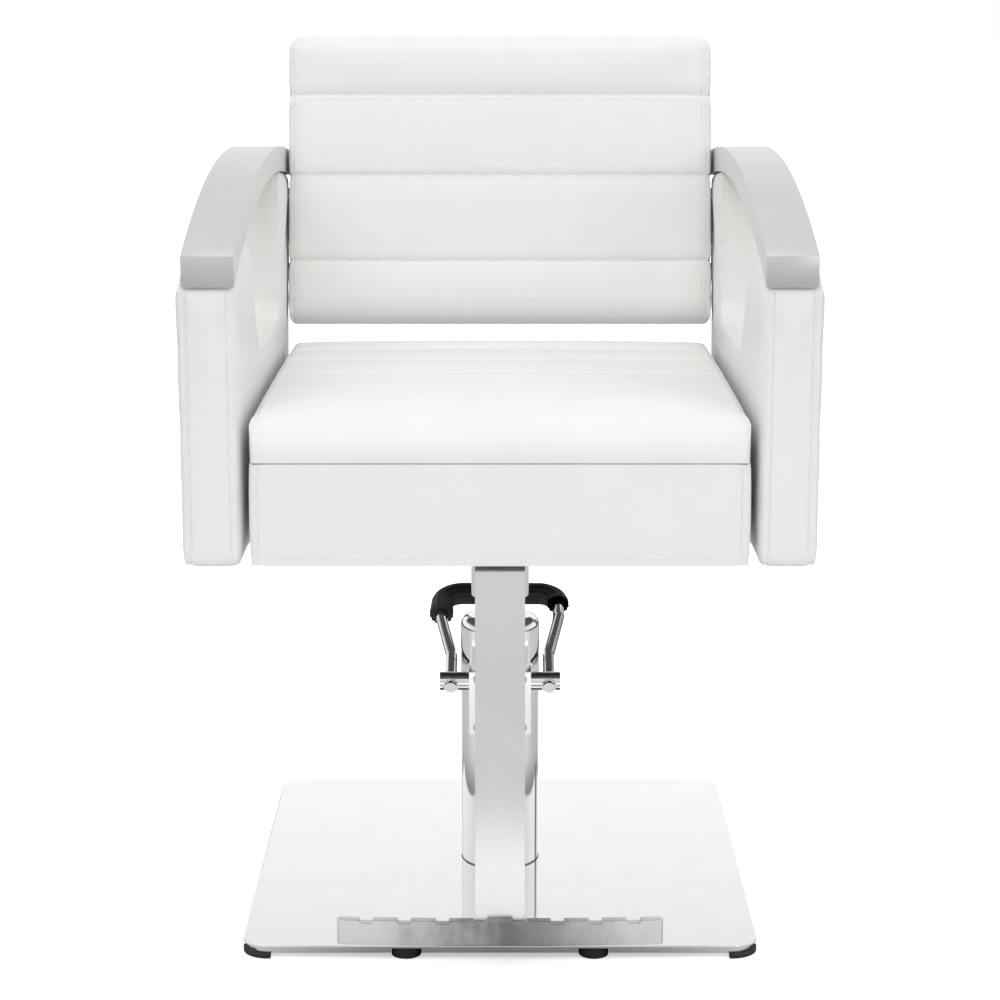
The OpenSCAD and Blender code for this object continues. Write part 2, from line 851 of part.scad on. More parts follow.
module arm_pad() {
    middle = arm_inner + arm_thick / 2;
    color(white) difference() {
        place_arm() difference() {
            along_x(arm_inner, arm_inner + arm_thick) difference() {
                arm_side(0, cap_radius - cap_height, seat_bottom);
                arm_window(0);
            }
            along_x(middle - core_thick / 2, middle + core_thick / 2) arm_core_side();
        }
        for (place = arm_bolt_places)
            x_rod(200, middle, place[0], place[1], bolt_r + 0.6);
        for (place = back_bolt_places) {
            x_rod(200, middle, place[0], place[1], bolt_r + 0.6);
            x_rod(middle, middle + 20, place[0], place[1], 8);
        }
    }
}

module arm_cap() {
    color(satin) place_arm() difference() {
        along_x(cap_inner, cap_inner + cap_width) difference() {
            arm_side(0.01, cap_radius, 640);
            translate([arc_y, arc_z]) circle(r = cap_radius - cap_height, $fn = 720);
        }
        along_x(cap_inner + cap_wall, cap_inner + cap_width - cap_wall) difference() {
            arm_side(cap_wall, cap_radius - cap_wall, 640);
        }
        for (y = cap_screw_places)
            translate([cap_inner + cap_width / 2, y, 700]) cylinder(h = arc_height(y, cap_radius) - 701.5, r = 2.45);
    }
}

module right_arm_frame() { arm_frame(); }
module right_arm_pad() { arm_pad(); }
module right_arm_cap() { arm_cap(); }
module left_arm_frame() { mirror([1, 0, 0]) arm_frame(); }
module left_arm_pad() { mirror([1, 0, 0]) arm_pad(); }
module left_arm_cap() { mirror([1, 0, 0]) arm_cap(); }

function arm_inner_at(y) = arm_inner - (y + arm_front) * tan(arm_toe);
function seat_half_at(y) =
    seat_half_front + (seat_half_rear - seat_half_front) * (y + seat_front) / (seat_front + seat_rear);

module arm_spacers() {
    color(iron) both_sides() for (place = arm_bolt_places)
        difference() {
            x_rod(seat_half_at(place[0]) + 0.15, arm_inner_at(place[0]) - 0.15, place[0], place[1], 9);
            x_rod(200, 300, place[0], place[1], bolt_r + 0.2);
        }
}

module arm_bolts() {
    head_x = seat_half_rear - skirt_wall - frame_wall - 5;
    color(steel) both_sides() for (place = arm_bolt_places) {
        x_rod(head_x - 5, head_x, place[0], place[1], 7);
        x_rod(head_x - EPS, 303, place[0], place[1], bolt_r);
    }
}

module back_bolts() {
    head_x = arm_inner + (arm_thick + core_thick) / 2 + 0.5;
    color(steel) both_sides() for (place = back_bolt_places) {
        x_rod(230, head_x, place[0], place[1], bolt_r);
        x_rod(head_x - EPS, head_x + 4, place[0], place[1], 7);
    }
}

module cap_screws() {
    color(steel) both_sides() place_arm() for (y = cap_screw_places)
        translate([cap_inner + cap_width / 2, y, 0]) {
            low = arc_height(y, cap_radius - cap_height);
            translate([0, 0, low - 3.2]) cylinder(h = 3, r = 5);
            translate([0, 0, low - 0.3]) cylinder(h = cap_height - 2.5, r = 2.4);
        }
}

base_cover();
ballast_plate();
corner_pads();
round_feet();
centre_pad();
pump_flange();
flange_bolts();
pump_tube();
foot_valve();
pressure_cylinder();
pump_head();
pump_front_cover();
front_cover_screws();
guide_bush();
wiper_seal();
pedal_springs();
lift_ram();
piston();
piston_seal();
cross_shaft();
pump_finger();
pedal_rod();
pedal_grip();
rod_set_screws();
plunger();
plunger_seal();
thrust_bearing();
swivel_collar();
mount_plate();
mount_bolts();
seat_board();
seat_frame();
seat_deck();
seat_skirt();
seat_cushion();
footrest_stem();
foot_bar();
footrest_bolts();
back_pad();
back_board();
back_cover();
left_arm_frame();
left_arm_pad();
left_arm_cap();
right_arm_frame();
right_arm_pad();
right_arm_cap();
arm_spacers();
arm_bolts();
back_bolts();
cap_screws();
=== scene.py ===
# %% [markdown]
# # A styling chair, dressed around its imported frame
# The frame is the engineered chair: every bolt, plate, board and pipe is already in place, in metres,
# with +Z up and the front of the chair towards -Y. This lesson adds what the frame leaves plain: the
# upholstery, the eased edges of the metal, the ribbed grip, and a finish for every piece.

# %% Load the frame
import json
import math

import bmesh
import bpy
import numpy as np
from mathutils import Matrix, Vector
from mathutils.bvhtree import BVHTree


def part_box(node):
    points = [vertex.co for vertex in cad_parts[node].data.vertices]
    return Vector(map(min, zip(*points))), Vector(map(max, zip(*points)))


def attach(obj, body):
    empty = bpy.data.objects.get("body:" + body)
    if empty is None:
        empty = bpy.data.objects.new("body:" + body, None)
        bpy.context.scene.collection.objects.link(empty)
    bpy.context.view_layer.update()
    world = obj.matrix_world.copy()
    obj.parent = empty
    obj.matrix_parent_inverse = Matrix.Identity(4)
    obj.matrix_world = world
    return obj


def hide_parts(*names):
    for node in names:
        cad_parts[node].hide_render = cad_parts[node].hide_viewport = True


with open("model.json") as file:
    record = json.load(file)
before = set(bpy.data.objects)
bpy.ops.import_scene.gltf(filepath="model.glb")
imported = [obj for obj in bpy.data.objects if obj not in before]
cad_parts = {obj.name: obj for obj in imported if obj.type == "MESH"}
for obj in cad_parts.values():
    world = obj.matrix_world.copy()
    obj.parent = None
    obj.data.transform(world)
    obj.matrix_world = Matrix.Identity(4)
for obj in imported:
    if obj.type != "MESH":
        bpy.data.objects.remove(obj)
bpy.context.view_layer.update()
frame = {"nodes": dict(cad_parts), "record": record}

# %% [markdown]
# ## Camera
# The chair is seen straight from the front, from a little above eye height of a seated person, through
# a long lens. A long lens keeps the two arms from splaying. The camera comes first, because everything
# else is judged through it.

# %% Camera
MM = 0.001
PITCH_DOWN = math.radians(12.18)
CAMERA_PLACE = Vector((0.0, -2.741, 1.0316))

camera_data = bpy.data.cameras.new("camera")
camera_data.lens = 89.06
camera_data.sensor_width = 36.0
camera = bpy.data.objects.new("camera", camera_data)
camera.location = CAMERA_PLACE
camera.rotation_euler = (math.pi / 2 - PITCH_DOWN, 0.0, 0.0)
bpy.context.collection.objects.link(camera)
bpy.context.scene.camera = camera
print("camera at", tuple(CAMERA_PLACE))

# %% [markdown]
# ## Studio
# White upholstery on a white ground only reads by its soft shadows, so the light is broad and comes from
# above and in front. Polished metal shows what stands round it, so the sky is not one flat white: low
# down it is paler at the rear than at the front, and two narrow dark flags at the rear draw the dark lines
# along a chrome tube. The camera itself sees plain white behind the chair. For every other ray the floor
# is pale near the chair and in front, where it fills the stem and the column, with a shaded ring under
# the rim, and it is dark far behind, so that the inner sides of the arm caps go dark.

# %% A wrapper that lets shader maths be written as Python
COLOUR_A, COLOUR_B, COLOUR_OUT = 6, 7, 2


class Wire:
    """One output socket of a node tree. Arithmetic on it adds Math nodes to the tree."""

    def __init__(self, tree, socket=None):
        self.tree = tree
        self.socket = socket

    def plug(self, target, value):
        if isinstance(value, Wire):
            self.tree.links.new(value.socket, target)
        else:
            target.default_value = value

    def add(self, kind, settings=None, inputs=None, out=0):
        """Adds any node: its settings first, then the values or links of its sockets."""
        node = self.tree.nodes.new(kind)
        for name, value in (settings or {}).items():
            if name == "stops":
                ramp = node.color_ramp.elements
                while len(ramp) < len(value):
                    ramp.new(0.5)
                for element, (place, colour) in zip(ramp, value):
                    element.position = place
                    element.color = colour
            else:
                setattr(node, name, value)
        for name, value in (inputs or {}).items():
            self.plug(node.inputs[name], value)
        return Wire(self.tree, node.outputs[out])

    def math(self, operation, first, second=0.0):
        return self.add("ShaderNodeMath", {"operation": operation}, {0: first, 1: second})

    def __add__(self, other):
        return self.math("ADD", self, other)

    def __radd__(self, other):
        return self.math("ADD", other, self)

    def __sub__(self, other):
        return self.math("SUBTRACT", self, other)

    def __rsub__(self, other):
        return self.math("SUBTRACT", other, self)

    def __mul__(self, other):
        return self.math("MULTIPLY", self, other)

    def __rmul__(self, other):
        return self.math("MULTIPLY", other, self)

    def __truediv__(self, other):
        return self.math("DIVIDE", self, other)

    def __rtruediv__(self, other):
        return self.math("DIVIDE", other, self)

    def __pow__(self, other):
        return self.math("POWER", self, other)

    def between(self, low, high):
        """0 below low, 1 above high, and smooth between."""
        return self.add("ShaderNodeMapRange", {"interpolation_type": "SMOOTHSTEP"},
                        {"Value": self, "From Min": low, "From Max": high})


def bell(wire, centre, width):
    """1 at the centre, falling smoothly to 0 at a width to either side."""
    return 1.0 - wire.math("ABSOLUTE", wire - centre).between(0.0, width)


print("shader maths ready")

# %% World light
SKY_HIGH = 1.0
SKY_BACK = 1.25
SKY_FRONT = 0.85
SKY_STRENGTH = 0.82
RIGHT_FLAG, RIGHT_FLAG_HALF = 0.68, 0.24     # radians off straight behind
LEFT_FLAG, LEFT_FLAG_HALF = 0.26, 0.12
FLAG_DARK = 0.95

world = bpy.data.worlds.new("studio")
bpy.context.scene.world = world
world.use_nodes = True
sky = Wire(world.node_tree)
direction = sky.add("ShaderNodeTexCoord", out=0)
across = sky.add("ShaderNodeSeparateXYZ", inputs={"Vector": direction}, out=0)
depth = sky.add("ShaderNodeSeparateXYZ", inputs={"Vector": direction}, out=1)
height = sky.add("ShaderNodeSeparateXYZ", inputs={"Vector": direction}, out=2)
low_sky = SKY_FRONT + (SKY_BACK - SKY_FRONT) * depth.between(-0.7, 0.6)
brightness = low_sky + (SKY_HIGH - low_sky) * height.between(0.3, 0.42)
azimuth = sky.math("ARCTAN2", across, depth)
flags = bell(azimuth, RIGHT_FLAG, RIGHT_FLAG_HALF) + bell(azimuth, -LEFT_FLAG, LEFT_FLAG_HALF)
flags = flags * (1.0 - height.between(0.3, 0.55))
brightness = brightness * (1.0 - FLAG_DARK * flags) * SKY_STRENGTH
seen_by_camera = sky.add("ShaderNodeLightPath", out="Is Camera Ray")
white_back = sky.add("ShaderNodeBackground", inputs={"Color": (1, 1, 1, 1), "Strength": 1.0})
studio_back = sky.add("ShaderNodeBackground", inputs={"Color": (1, 1, 1, 1), "Strength": brightness})
chosen = sky.add("ShaderNodeMixShader", inputs={0: seen_by_camera, 1: studio_back, 2: white_back})
sky.tree.links.new(chosen.socket, sky.tree.nodes["World Output"].inputs["Surface"])
bpy.context.scene.view_settings.view_transform = "Standard"
print("sky from", SKY_FRONT, "to", SKY_HIGH)


# %% Soft boxes and the floor
def soft_box(name, place, target, size, power):
    """A square area light that looks at a target."""
    lamp = bpy.data.lights.new(name, "AREA")
    lamp.shape = "SQUARE"
    lamp.size = size
    lamp.energy = power
    holder = bpy.data.objects.new(name, lamp)
    holder.location = place
    aim = Vector(target) - Vector(place)
    holder.rotation_euler = aim.to_track_quat("-Z", "Y").to_euler()
    bpy.context.collection.objects.link(holder)
    return holder


CHAIR_MIDDLE = (0.0, 0.0, 0.6)
KEY_POWER, FILL_POWER, TOP_POWER = 18.0, 11.0, 14.0
FLOOR_SIDE = 60.0
FLOOR_LEAST, FLOOR_GLOW = 0.45, 0.5
FRONT_FILL = 0.75            # a strip of bright floor that the flat stem mirrors
soft_box("key_light", (-1.2, -2.6, 3.0), CHAIR_MIDDLE, 1.8, KEY_POWER)
soft_box("fill_light", (2.0, -2.2, 2.0), CHAIR_MIDDLE, 1.8, FILL_POWER)
soft_box("top_light", (0.0, -0.6, 3.4), CHAIR_MIDDLE, 2.2, TOP_POWER)

bpy.ops.mesh.primitive_plane_add(size=FLOOR_SIDE, location=(0.0, 0.0, 0.0))
floor = bpy.context.object
floor.name = "studio_floor"
floor_paint = bpy.data.materials.new("studio_floor")
floor_paint.use_nodes = True
floor_shader = floor_paint.node_tree.nodes["Principled BSDF"]
floor_shader.inputs["Base Color"].default_value = (0.93, 0.93, 0.93, 1)
floor_shader.inputs["Roughness"].default_value = 0.9
floor_shader.inputs["Specular IOR Level"].default_value = 0.1
floor_shader.inputs["Emission Strength"].default_value = 1.0
paper = Wire(floor_paint.node_tree)
spot = paper.add("ShaderNodeTexCoord", out="Object")
from_column = paper.add("ShaderNodeVectorMath", {"operation": "LENGTH"}, {0: spot}, out="Value")
glow = FLOOR_LEAST + from_column.between(0.2, 0.6) * FLOOR_GLOW
paper.plug(floor_shader.inputs["Emission Color"],
           paper.add("ShaderNodeCombineColor", inputs={"Red": glow, "Green": glow, "Blue": glow}))
to_rear = paper.add("ShaderNodeSeparateXYZ", inputs={"Vector": spot}, out=1)
in_front = 1.0 - to_rear.between(-0.3, 0.3)
near = 1.0 - from_column.between(1.2, 2.6)
paleness = 0.16 + 0.5 * near + in_front * (0.2 + 0.05 * near)
paleness = paleness * (0.4 + 0.6 * from_column.between(0.3, 0.5))     # the rim mirrors this shaded ring
sideways = paper.add("ShaderNodeSeparateXYZ", inputs={"Vector": spot}, out=0)
strip = bell(sideways, 0.0, 0.7) * from_column.between(0.75, 1.5) * (1.0 - from_column.between(2.6, 3.4))
fill_glow = in_front * strip * FRONT_FILL
bounce = paper.add("ShaderNodeBsdfPrincipled", inputs={
    "Base Color": paper.add("ShaderNodeCombineColor",
                            inputs={"Red": paleness, "Green": paleness, "Blue": paleness}),
    "Emission Color": paper.add("ShaderNodeCombineColor",
                                inputs={"Red": fill_glow, "Green": fill_glow, "Blue": fill_glow}),
    "Emission Strength": 1.0, "Roughness": 1.0, "Specular IOR Level": 0.0})
seen = paper.add("ShaderNodeMixShader", inputs={
    0: paper.add("ShaderNodeLightPath", out="Is Camera Ray"),
    1: bounce, 2: Wire(paper.tree, floor_shader.outputs[0])})
paper.tree.links.new(seen.socket, paper.tree.nodes["Material Output"].inputs["Surface"])
floor.data.materials.append(floor_paint)
print("three soft boxes and a floor that is pale near the chair and dark far behind it")

# %% [markdown]
# ## Finishes
# Each finish is a Principled shader whose colour, roughness and bump come from noise in the object's own
# coordinates, in metres. Noise is stretched along the direction in which the metal was brushed or drawn.
# A bump of a few hundredths of a millimetre is enough: it shows in the highlight and not in the outline.

# %% The start of every finish
WHOLE = 1000.0   # millimetres in a metre: a noise scale of WHOLE / n has grains n millimetres across


class Finish:
    """A material that is being made: its shader, and places measured on the object."""

    def __init__(self, name, colour, roughness, metallic=0.0):
        self.material = bpy.data.materials.new(name)
        self.material.use_nodes = True
        self.shader = self.material.node_tree.nodes["Principled BSDF"]
        self.start = Wire(self.material.node_tree)
        self.set(**{"Base Color": (*colour, 1.0), "Roughness": roughness, "Metallic": metallic})
        self.place = self.start.add("ShaderNodeTexCoord", out="Object")

    def set(self, **values):
        for name, value in values.items():
            self.start.plug(self.shader.inputs[name.replace("_", " ")], value)

    def stretched(self, x=1.0, y=1.0, z=1.0, turn=(0, 0, 0)):
        """The place, squeezed along some axes: a small factor makes long grains along that axis."""
        return self.start.add("ShaderNodeMapping", inputs={"Vector": self.place, "Scale": (x, y, z),
                                                           "Rotation": turn})

    def noise(self, grain, where=None, detail=3.0, rough=0.55):
        """Noise whose grains are so many millimetres across, around 0.5."""
        return self.start.add("ShaderNodeTexNoise", inputs={
            "Vector": where or self.place, "Scale": WHOLE / grain, "Detail": detail, "Roughness": rough})

    def cells(self, grain, where=None):
        """Distance to the nearest of many scattered points: pebbles of leather or cast metal."""
        return self.start.add("ShaderNodeTexVoronoi", inputs={
            "Vector": where or self.place, "Scale": WHOLE / grain}, out="Distance")

    def tint(self, amount, first, second):
        """Blends two colours by an amount."""
        return self.start.add("ShaderNodeMix", {"data_type": "RGBA"},
                              {0: amount, COLOUR_A: (*first, 1.0), COLOUR_B: (*second, 1.0)},
                              out=COLOUR_OUT)

    def relief(self, height, depth, strength=1.0):
        """Bumps the surface by a height that goes from 0 to 1 over a depth in millimetres."""
        self.set(Normal=self.start.add("ShaderNodeBump", inputs={
            "Height": height, "Distance": depth * MM, "Strength": strength}))

    def attribute(self, name):
        return self.start.add("ShaderNodeAttribute", {"attribute_name": name}, out="Fac")


def shade(colour, factor):
    return tuple(channel * factor for channel in colour)


print("finish helper ready")


# %% Upholstery: white vinyl with a fine pebble, gathered where it is sewn
def white_vinyl(name="white_vinyl", colour=(0.86, 0.858, 0.848)):
    """Two sizes of pebble, soft creases, ripples that run out from the seams, and painted shade in patches
    along the seams.
    """
    made = Finish(name, colour, 0.42)
    near_seam = made.attribute("near_seam")
    pebble = made.cells(1.1) * 0.55 + made.noise(0.5) * 0.45
    creases = made.noise(38.0, made.stretched(1.0, 1.0, 2.2), detail=4.0)
    gathers = made.noise(6.5, made.stretched(1.0, 0.25, 0.25), detail=1.0)
    side_gathers = made.noise(6.5, made.stretched(0.25, 1.0, 1.0), detail=1.0)
    across_seam = made.attribute("seam_upright")
    ripples = gathers + (side_gathers - gathers) * across_seam
    made.relief(pebble * 0.05 + creases * 0.08 + ripples * near_seam * 0.9, 0.9, 0.5)
    cloudy = made.noise(60.0, detail=2.0).between(0.35, 0.65)
    # painted shade: the colour is darkened in patches along the seams, where the sewn valleys lie in shade
    painted_seam_shade = near_seam * made.noise(3.0).between(0.35, 0.75)
    worn = made.tint(cloudy, shade(colour, 0.993), shade(colour, 1.007))
    made.set(Base_Color=made.start.add(
        "ShaderNodeMix", {"data_type": "RGBA"},
        {0: painted_seam_shade * 0.3, COLOUR_A: worn, COLOUR_B: (*shade(colour, 0.82), 1.0)}, out=COLOUR_OUT))
    made.set(Roughness=0.36 + made.noise(25.0) * 0.14)
    made.set(Specular_IOR_Level=0.4, Sheen_Weight=0.06, Sheen_Roughness=0.4)
    return made.material


def thread(name, colour):
    """Twisted polyester: a tight spiral of strands."""
    made = Finish(name, colour, 0.55)
    twist = made.noise(0.35, made.stretched(1.0, 1.0, 0.4))
    made.relief(twist, 0.1, 0.6)
    made.set(Base_Color=made.tint(twist, shade(colour, 0.86), shade(colour, 1.08)))
    return made.material


print("upholstery finishes ready")


# %% Metals
def brushed(name, colour, along, roughness=0.3, turn=(0, 0, 0), depth=0.02):
    """Long fine scratches along one axis, with patches that are brushed a little brighter."""
    made = Finish(name, colour, roughness, 1.0)
    squeeze = [1.0, 1.0, 1.0]
    squeeze["xyz".index(along)] = 0.012
    lines = made.noise(0.55, made.stretched(*squeeze, turn=turn), detail=4.0, rough=0.7)
    patches = made.noise(70.0, detail=2.0)
    made.relief(lines, depth, 0.7)
    made.set(Roughness=roughness - 0.07 + lines * 0.1 + patches * 0.05)
    made.set(Base_Color=made.tint(lines * 0.6 + patches * 0.4, shade(colour, 0.86), shade(colour, 1.08)))
    return made.material


def bar_with_painted_reflection(name, colour):
    """Steel brushed along X, with a painted reflection: painted darker in the middle and bright at its
    ends.
    """
    made = Finish(name, colour, 0.3, 1.0)
    along = made.start.add("ShaderNodeSeparateXYZ", inputs={"Vector": made.place}, out=0)
    lines = made.noise(0.5, made.stretched(0.015, 1.0, 1.0), detail=4.0, rough=0.7)
    smears = made.noise(28.0, made.stretched(1.0, 1.0, 0.5), detail=4.0, rough=0.65)
    # painted reflection: the middle of the bar is painted dark and its ends bright, standing in for what
    # its face mirrors
    painted_dark_middle = bell(along + (smears - 0.5) * 0.12, 0.01, 0.15)
    made.relief(lines, 0.008, 0.6)
    made.set(Roughness=0.24 + lines * 0.1 + smears * 0.08)
    painted_reflection_tint = made.tint(painted_dark_middle * (0.55 + smears * 0.6), shade(colour, 1.08), shade(colour, 0.17))
    made.set(Base_Color=made.start.add(
        "ShaderNodeMix", {"data_type": "RGBA"},
        {0: lines * 0.25, COLOUR_A: painted_reflection_tint, COLOUR_B: (*shade(colour, 0.6), 1.0)}, out=COLOUR_OUT))
    return made.material


def bright(name, colour, roughness, wipe=0.03):
    """Plating or polish: nearly a mirror, with faint wipe marks, small dull specks and a soft swell."""
    made = Finish(name, colour, roughness, 1.0)
    wiped = made.noise(45.0, made.stretched(1.0, 1.0, 0.35), detail=4.0)
    specks = made.cells(9.0).between(0.0, 0.08)
    made.set(Roughness=roughness + wiped * wipe + (1.0 - specks) * 0.05)
    made.set(Base_Color=made.tint(wiped, shade(colour, 0.95), shade(colour, 1.03)))
    made.relief(made.noise(30.0, detail=1.0), 0.03, 0.3)
    return made.material


def cast(name, colour, roughness, grain, depth, metallic=0.0):
    """Sand-cast, enamelled or moulded skin: a coarse and a fine pebble, darker in the hollows."""
    made = Finish(name, colour, roughness, metallic)
    skin = made.noise(grain, detail=5.0, rough=0.65)
    made.relief(skin, depth, 0.8)
    made.set(Roughness=roughness - 0.08 + skin * 0.16)
    made.set(Base_Color=made.tint(skin.between(0.3, 0.7), shade(colour, 0.75), shade(colour, 1.2)))
    return made.material


def plywood(name, colour=(0.58, 0.42, 0.25)):
    """Rotary-cut birch: grain along X, wavy growth bands, and thin glue lines through the thickness."""
    made = Finish(name, colour, 0.6)
    bands = made.noise(14.0, made.stretched(0.06, 1.0, 1.0), detail=4.0)
    fibre = made.noise(0.9, made.stretched(0.03, 1.0, 1.0), detail=3.0)
    made.set(Base_Color=made.tint(bands * 0.6 + fibre * 0.4, shade(colour, 0.7), shade(colour, 1.25)))
    made.set(Roughness=0.5 + fibre * 0.2)
    made.relief(fibre, 0.08, 0.6)
    return made.material


print("metal, cast and wood finishes ready")

# %% [markdown]
# ### One finish for each slot
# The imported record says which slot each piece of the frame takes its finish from, so one table of
# finishes dresses the whole frame in a loop. The column pieces stand upright, so their brushing runs
# along Z; plates and bars are brushed along X.

# %% Dress the frame
CHROME = (0.86, 0.868, 0.88)
finishes = {
    "polished_steel": bright("polished_steel", (0.93, 0.932, 0.935), 0.04, 0.015),
    "chrome": bright("chrome", CHROME, 0.05),
    "satin_aluminium": brushed("satin_aluminium", (0.78, 0.782, 0.785), "y", 0.33, depth=0.01),
    "brushed_steel": bar_with_painted_reflection("brushed_steel", (0.72, 0.717, 0.745)),
    "plain_steel": brushed("plain_steel", (0.56, 0.56, 0.58), "z", 0.35),
    "black_iron": cast("black_iron", (0.022, 0.022, 0.025), 0.42, 1.4, 0.08),
    "cast_iron": cast("cast_iron", (0.09, 0.09, 0.095), 0.6, 2.0, 0.25, 0.6),
    "brass": brushed("brass", (0.72, 0.52, 0.24), "z", 0.3),
    "black_rubber": cast("black_rubber", (0.018, 0.018, 0.021), 0.55, 0.8, 0.05),
    "white_vinyl": white_vinyl(),
    "plywood": plywood("plywood"),
}
stem_finish = brushed("brushed_steel_upright", (0.86, 0.855, 0.885), "z", 0.25, depth=0.006)
# painted shade: the seat board and frame get a near-black colour so that the underside of the seat reads as
# shade
underside_painted_shade = cast("plywood_darkened_as_shade", (0.14, 0.14, 0.138), 0.7, 3.0, 0.1)
thread_finish = thread("white_thread", (0.72, 0.715, 0.70))


def wear(piece, finish):
    """Gives a piece one finish and nothing else."""
    piece.data.materials.clear()
    piece.data.materials.append(finish)


# the seat board and frame take the near-black painted shade finish
OWN_FINISH = {"footrest_stem": stem_finish, "seat_board": underside_painted_shade, "seat_frame": underside_painted_shade}
for part in frame["record"]["subparts"]:
    node = frame["nodes"][part["node"]]
    for slot in node.material_slots:
        slot.link = "OBJECT"
        slot.material = OWN_FINISH.get(part["node"], finishes[part["material_slot"]])

# %% [markdown]
# ## Handling meshes
# A piece starts as a primitive at its size and place. Faces and edges are then picked by where they are,
# because a script can't click. Everything is let go first: an operator acts on all that is selected.

# %% Picking and cutting
def let_go():
    """Object mode, with nothing selected."""
    if bpy.context.object and bpy.context.object.mode != "OBJECT":
        bpy.ops.object.mode_set(mode="OBJECT")
    bpy.ops.object.select_all(action="DESELECT")


def pick(piece):
    let_go()
    piece.select_set(True)
    bpy.context.view_layer.objects.active = piece


def settle(piece):
    """Moves an object's place, turn and size into its mesh."""
    pick(piece)
    bpy.ops.object.transform_apply(location=True, rotation=True, scale=True)


def block(name, low, high):
    """A cube stretched between two corners."""
    let_go()
    low, high = Vector(low), Vector(high)
    bpy.ops.mesh.primitive_cube_add(size=1.0, location=(low + high) / 2)
    piece = bpy.context.object
    piece.name = name
    piece.data.name = name
    piece.scale = high - low
    settle(piece)
    return piece


def select_where(piece, kind, rule):
    """Edit mode, with the faces picked whose (middle, normal) fit a rule, or edges by their two ends."""
    pick(piece)
    bpy.ops.object.mode_set(mode="EDIT")
    bpy.ops.mesh.select_mode(type=kind)
    bpy.ops.mesh.select_all(action="DESELECT")
    shape = bmesh.from_edit_mesh(piece.data)
    found = 0
    for item in (shape.faces if kind == "FACE" else shape.edges):
        facts = (item.calc_center_median(), item.normal) if kind == "FACE" else [v.co for v in item.verts]
        if rule(*facts):
            item.select_set(True)
            found += 1
    bmesh.update_edit_mesh(piece.data)
    return found


def cut_across(piece, axis, places):
    """Cuts an edge loop right round a piece at each place along an axis."""
    pick(piece)
    bpy.ops.object.mode_set(mode="EDIT")
    normal = [0.0, 0.0, 0.0]
    normal[axis] = 1.0
    for place in places:
        bpy.ops.mesh.select_all(action="SELECT")
        bpy.ops.mesh.bisect(plane_co=[place * n for n in normal], plane_no=normal)
    bpy.ops.object.mode_set(mode="OBJECT")


def apply_modifier(piece, kind, **settings):
    """Adds a modifier, sets it up and applies it."""
    pick(piece)
    modifier = piece.modifiers.new(kind.lower(), kind)
    for name, value in settings.items():
        setattr(modifier, name, value)
    bpy.ops.object.modifier_apply(modifier=modifier.name)


def round_edges(piece, radius, share, segments=4):
    """Rounds edges by weight: share(end, end) gives each edge its part of the radius, or 0."""
    weights = piece.data.attributes.new("bevel_weight_edge", "FLOAT", "EDGE")
    spots = piece.data.vertices
    for edge in piece.data.edges:
        weights.data[edge.index].value = share(*(spots[i].co for i in edge.vertices))
    apply_modifier(piece, "BEVEL", width=radius, segments=segments, limit_method="WEIGHT")
    leftover = piece.data.attributes.get("bevel_weight_edge")
    if leftover:
        piece.data.attributes.remove(leftover)


def spots_of(piece):
    """The vertices of a piece as an array of X, Y and Z."""
    spots = np.empty(len(piece.data.vertices) * 3)
    piece.data.vertices.foreach_get("co", spots)
    return spots.reshape(-1, 3)


def put_spots(piece, spots):
    piece.data.vertices.foreach_set("co", np.ascontiguousarray(spots).ravel())
    piece.data.update()


def normals_of(piece):
    normals = np.empty(len(piece.data.vertices) * 3)
    piece.data.vertex_normals.foreach_get("vector", normals)
    return normals.reshape(-1, 3)


def evenly(low, high, step, keep_off=(), clear=0.004):
    """Places at even steps between two ends, leaving out those that come close to a seam."""
    count = max(2, round((high - low) / step))
    places = [low + (high - low) * i / count for i in range(1, count)]
    return [p for p in places if all(abs(p - k) > clear for k in keep_off)]


print("mesh helpers ready")

# %% [markdown]
# ## Upholstery
# A cushion is foam under a tight sewn cover. Where panels are sewn the cover is held down, and between
# the seams the foam pushes it up. That is what the Cloth modifier does here: pressure inside, with the
# seam lines pinned. How far a point may move is capped, so that the cushion keeps the size of its frame.

# %% Filling a cover
PUFF_FRAMES = 20
SEAM_HALF = 2.2 * MM      # half the width of the valley at a seam


def puff(piece, sewn, cap, pressure=4.0):
    """Blows a cover up a little, held where sewn says so; no point moves further than the cap."""
    before = spots_of(piece)
    held = piece.vertex_groups.new(name="sewn")
    held.add([int(i) for i in np.nonzero(sewn(before))[0]], 1.0, "REPLACE")
    pick(piece)
    cloth = piece.modifiers.new("cover", "CLOTH")
    cover = cloth.settings
    cover.quality = 4
    cover.mass = 0.25
    cover.tension_stiffness = cover.compression_stiffness = cover.shear_stiffness = 12.0
    cover.bending_stiffness = 0.6
    cover.use_pressure = True
    cover.uniform_pressure_force = pressure
    cover.effector_weights.gravity = 0.0
    cover.vertex_group_mass = "sewn"
    cloth.collision_settings.use_collision = False
    cloth.point_cache.frame_start = 1
    cloth.point_cache.frame_end = PUFF_FRAMES
    for moment in range(1, PUFF_FRAMES + 1):
        bpy.context.scene.frame_set(moment)
    bpy.ops.object.modifier_apply(modifier="cover")
    bpy.context.scene.frame_set(1)
    moved = spots_of(piece) - before
    length = np.linalg.norm(moved, axis=1, keepdims=True)
    capped = moved * (cap * np.tanh(length / cap) / np.maximum(length, 1e-9))
    put_spots(piece, before + capped)
    piece.vertex_groups.clear()
    print(piece.name, "rose", round(float(np.linalg.norm(capped, axis=1).max()) / MM, 1), "mm")


def stretch_to(piece, axis, low, high):
    """Scales a piece along one axis so that it just fills a stretch."""
    spots = spots_of(piece)
    least, most = spots[:, axis].min(), spots[:, axis].max()
    spots[:, axis] = low + (spots[:, axis] - least) * (high - low) / (most - least)
    put_spots(piece, spots)


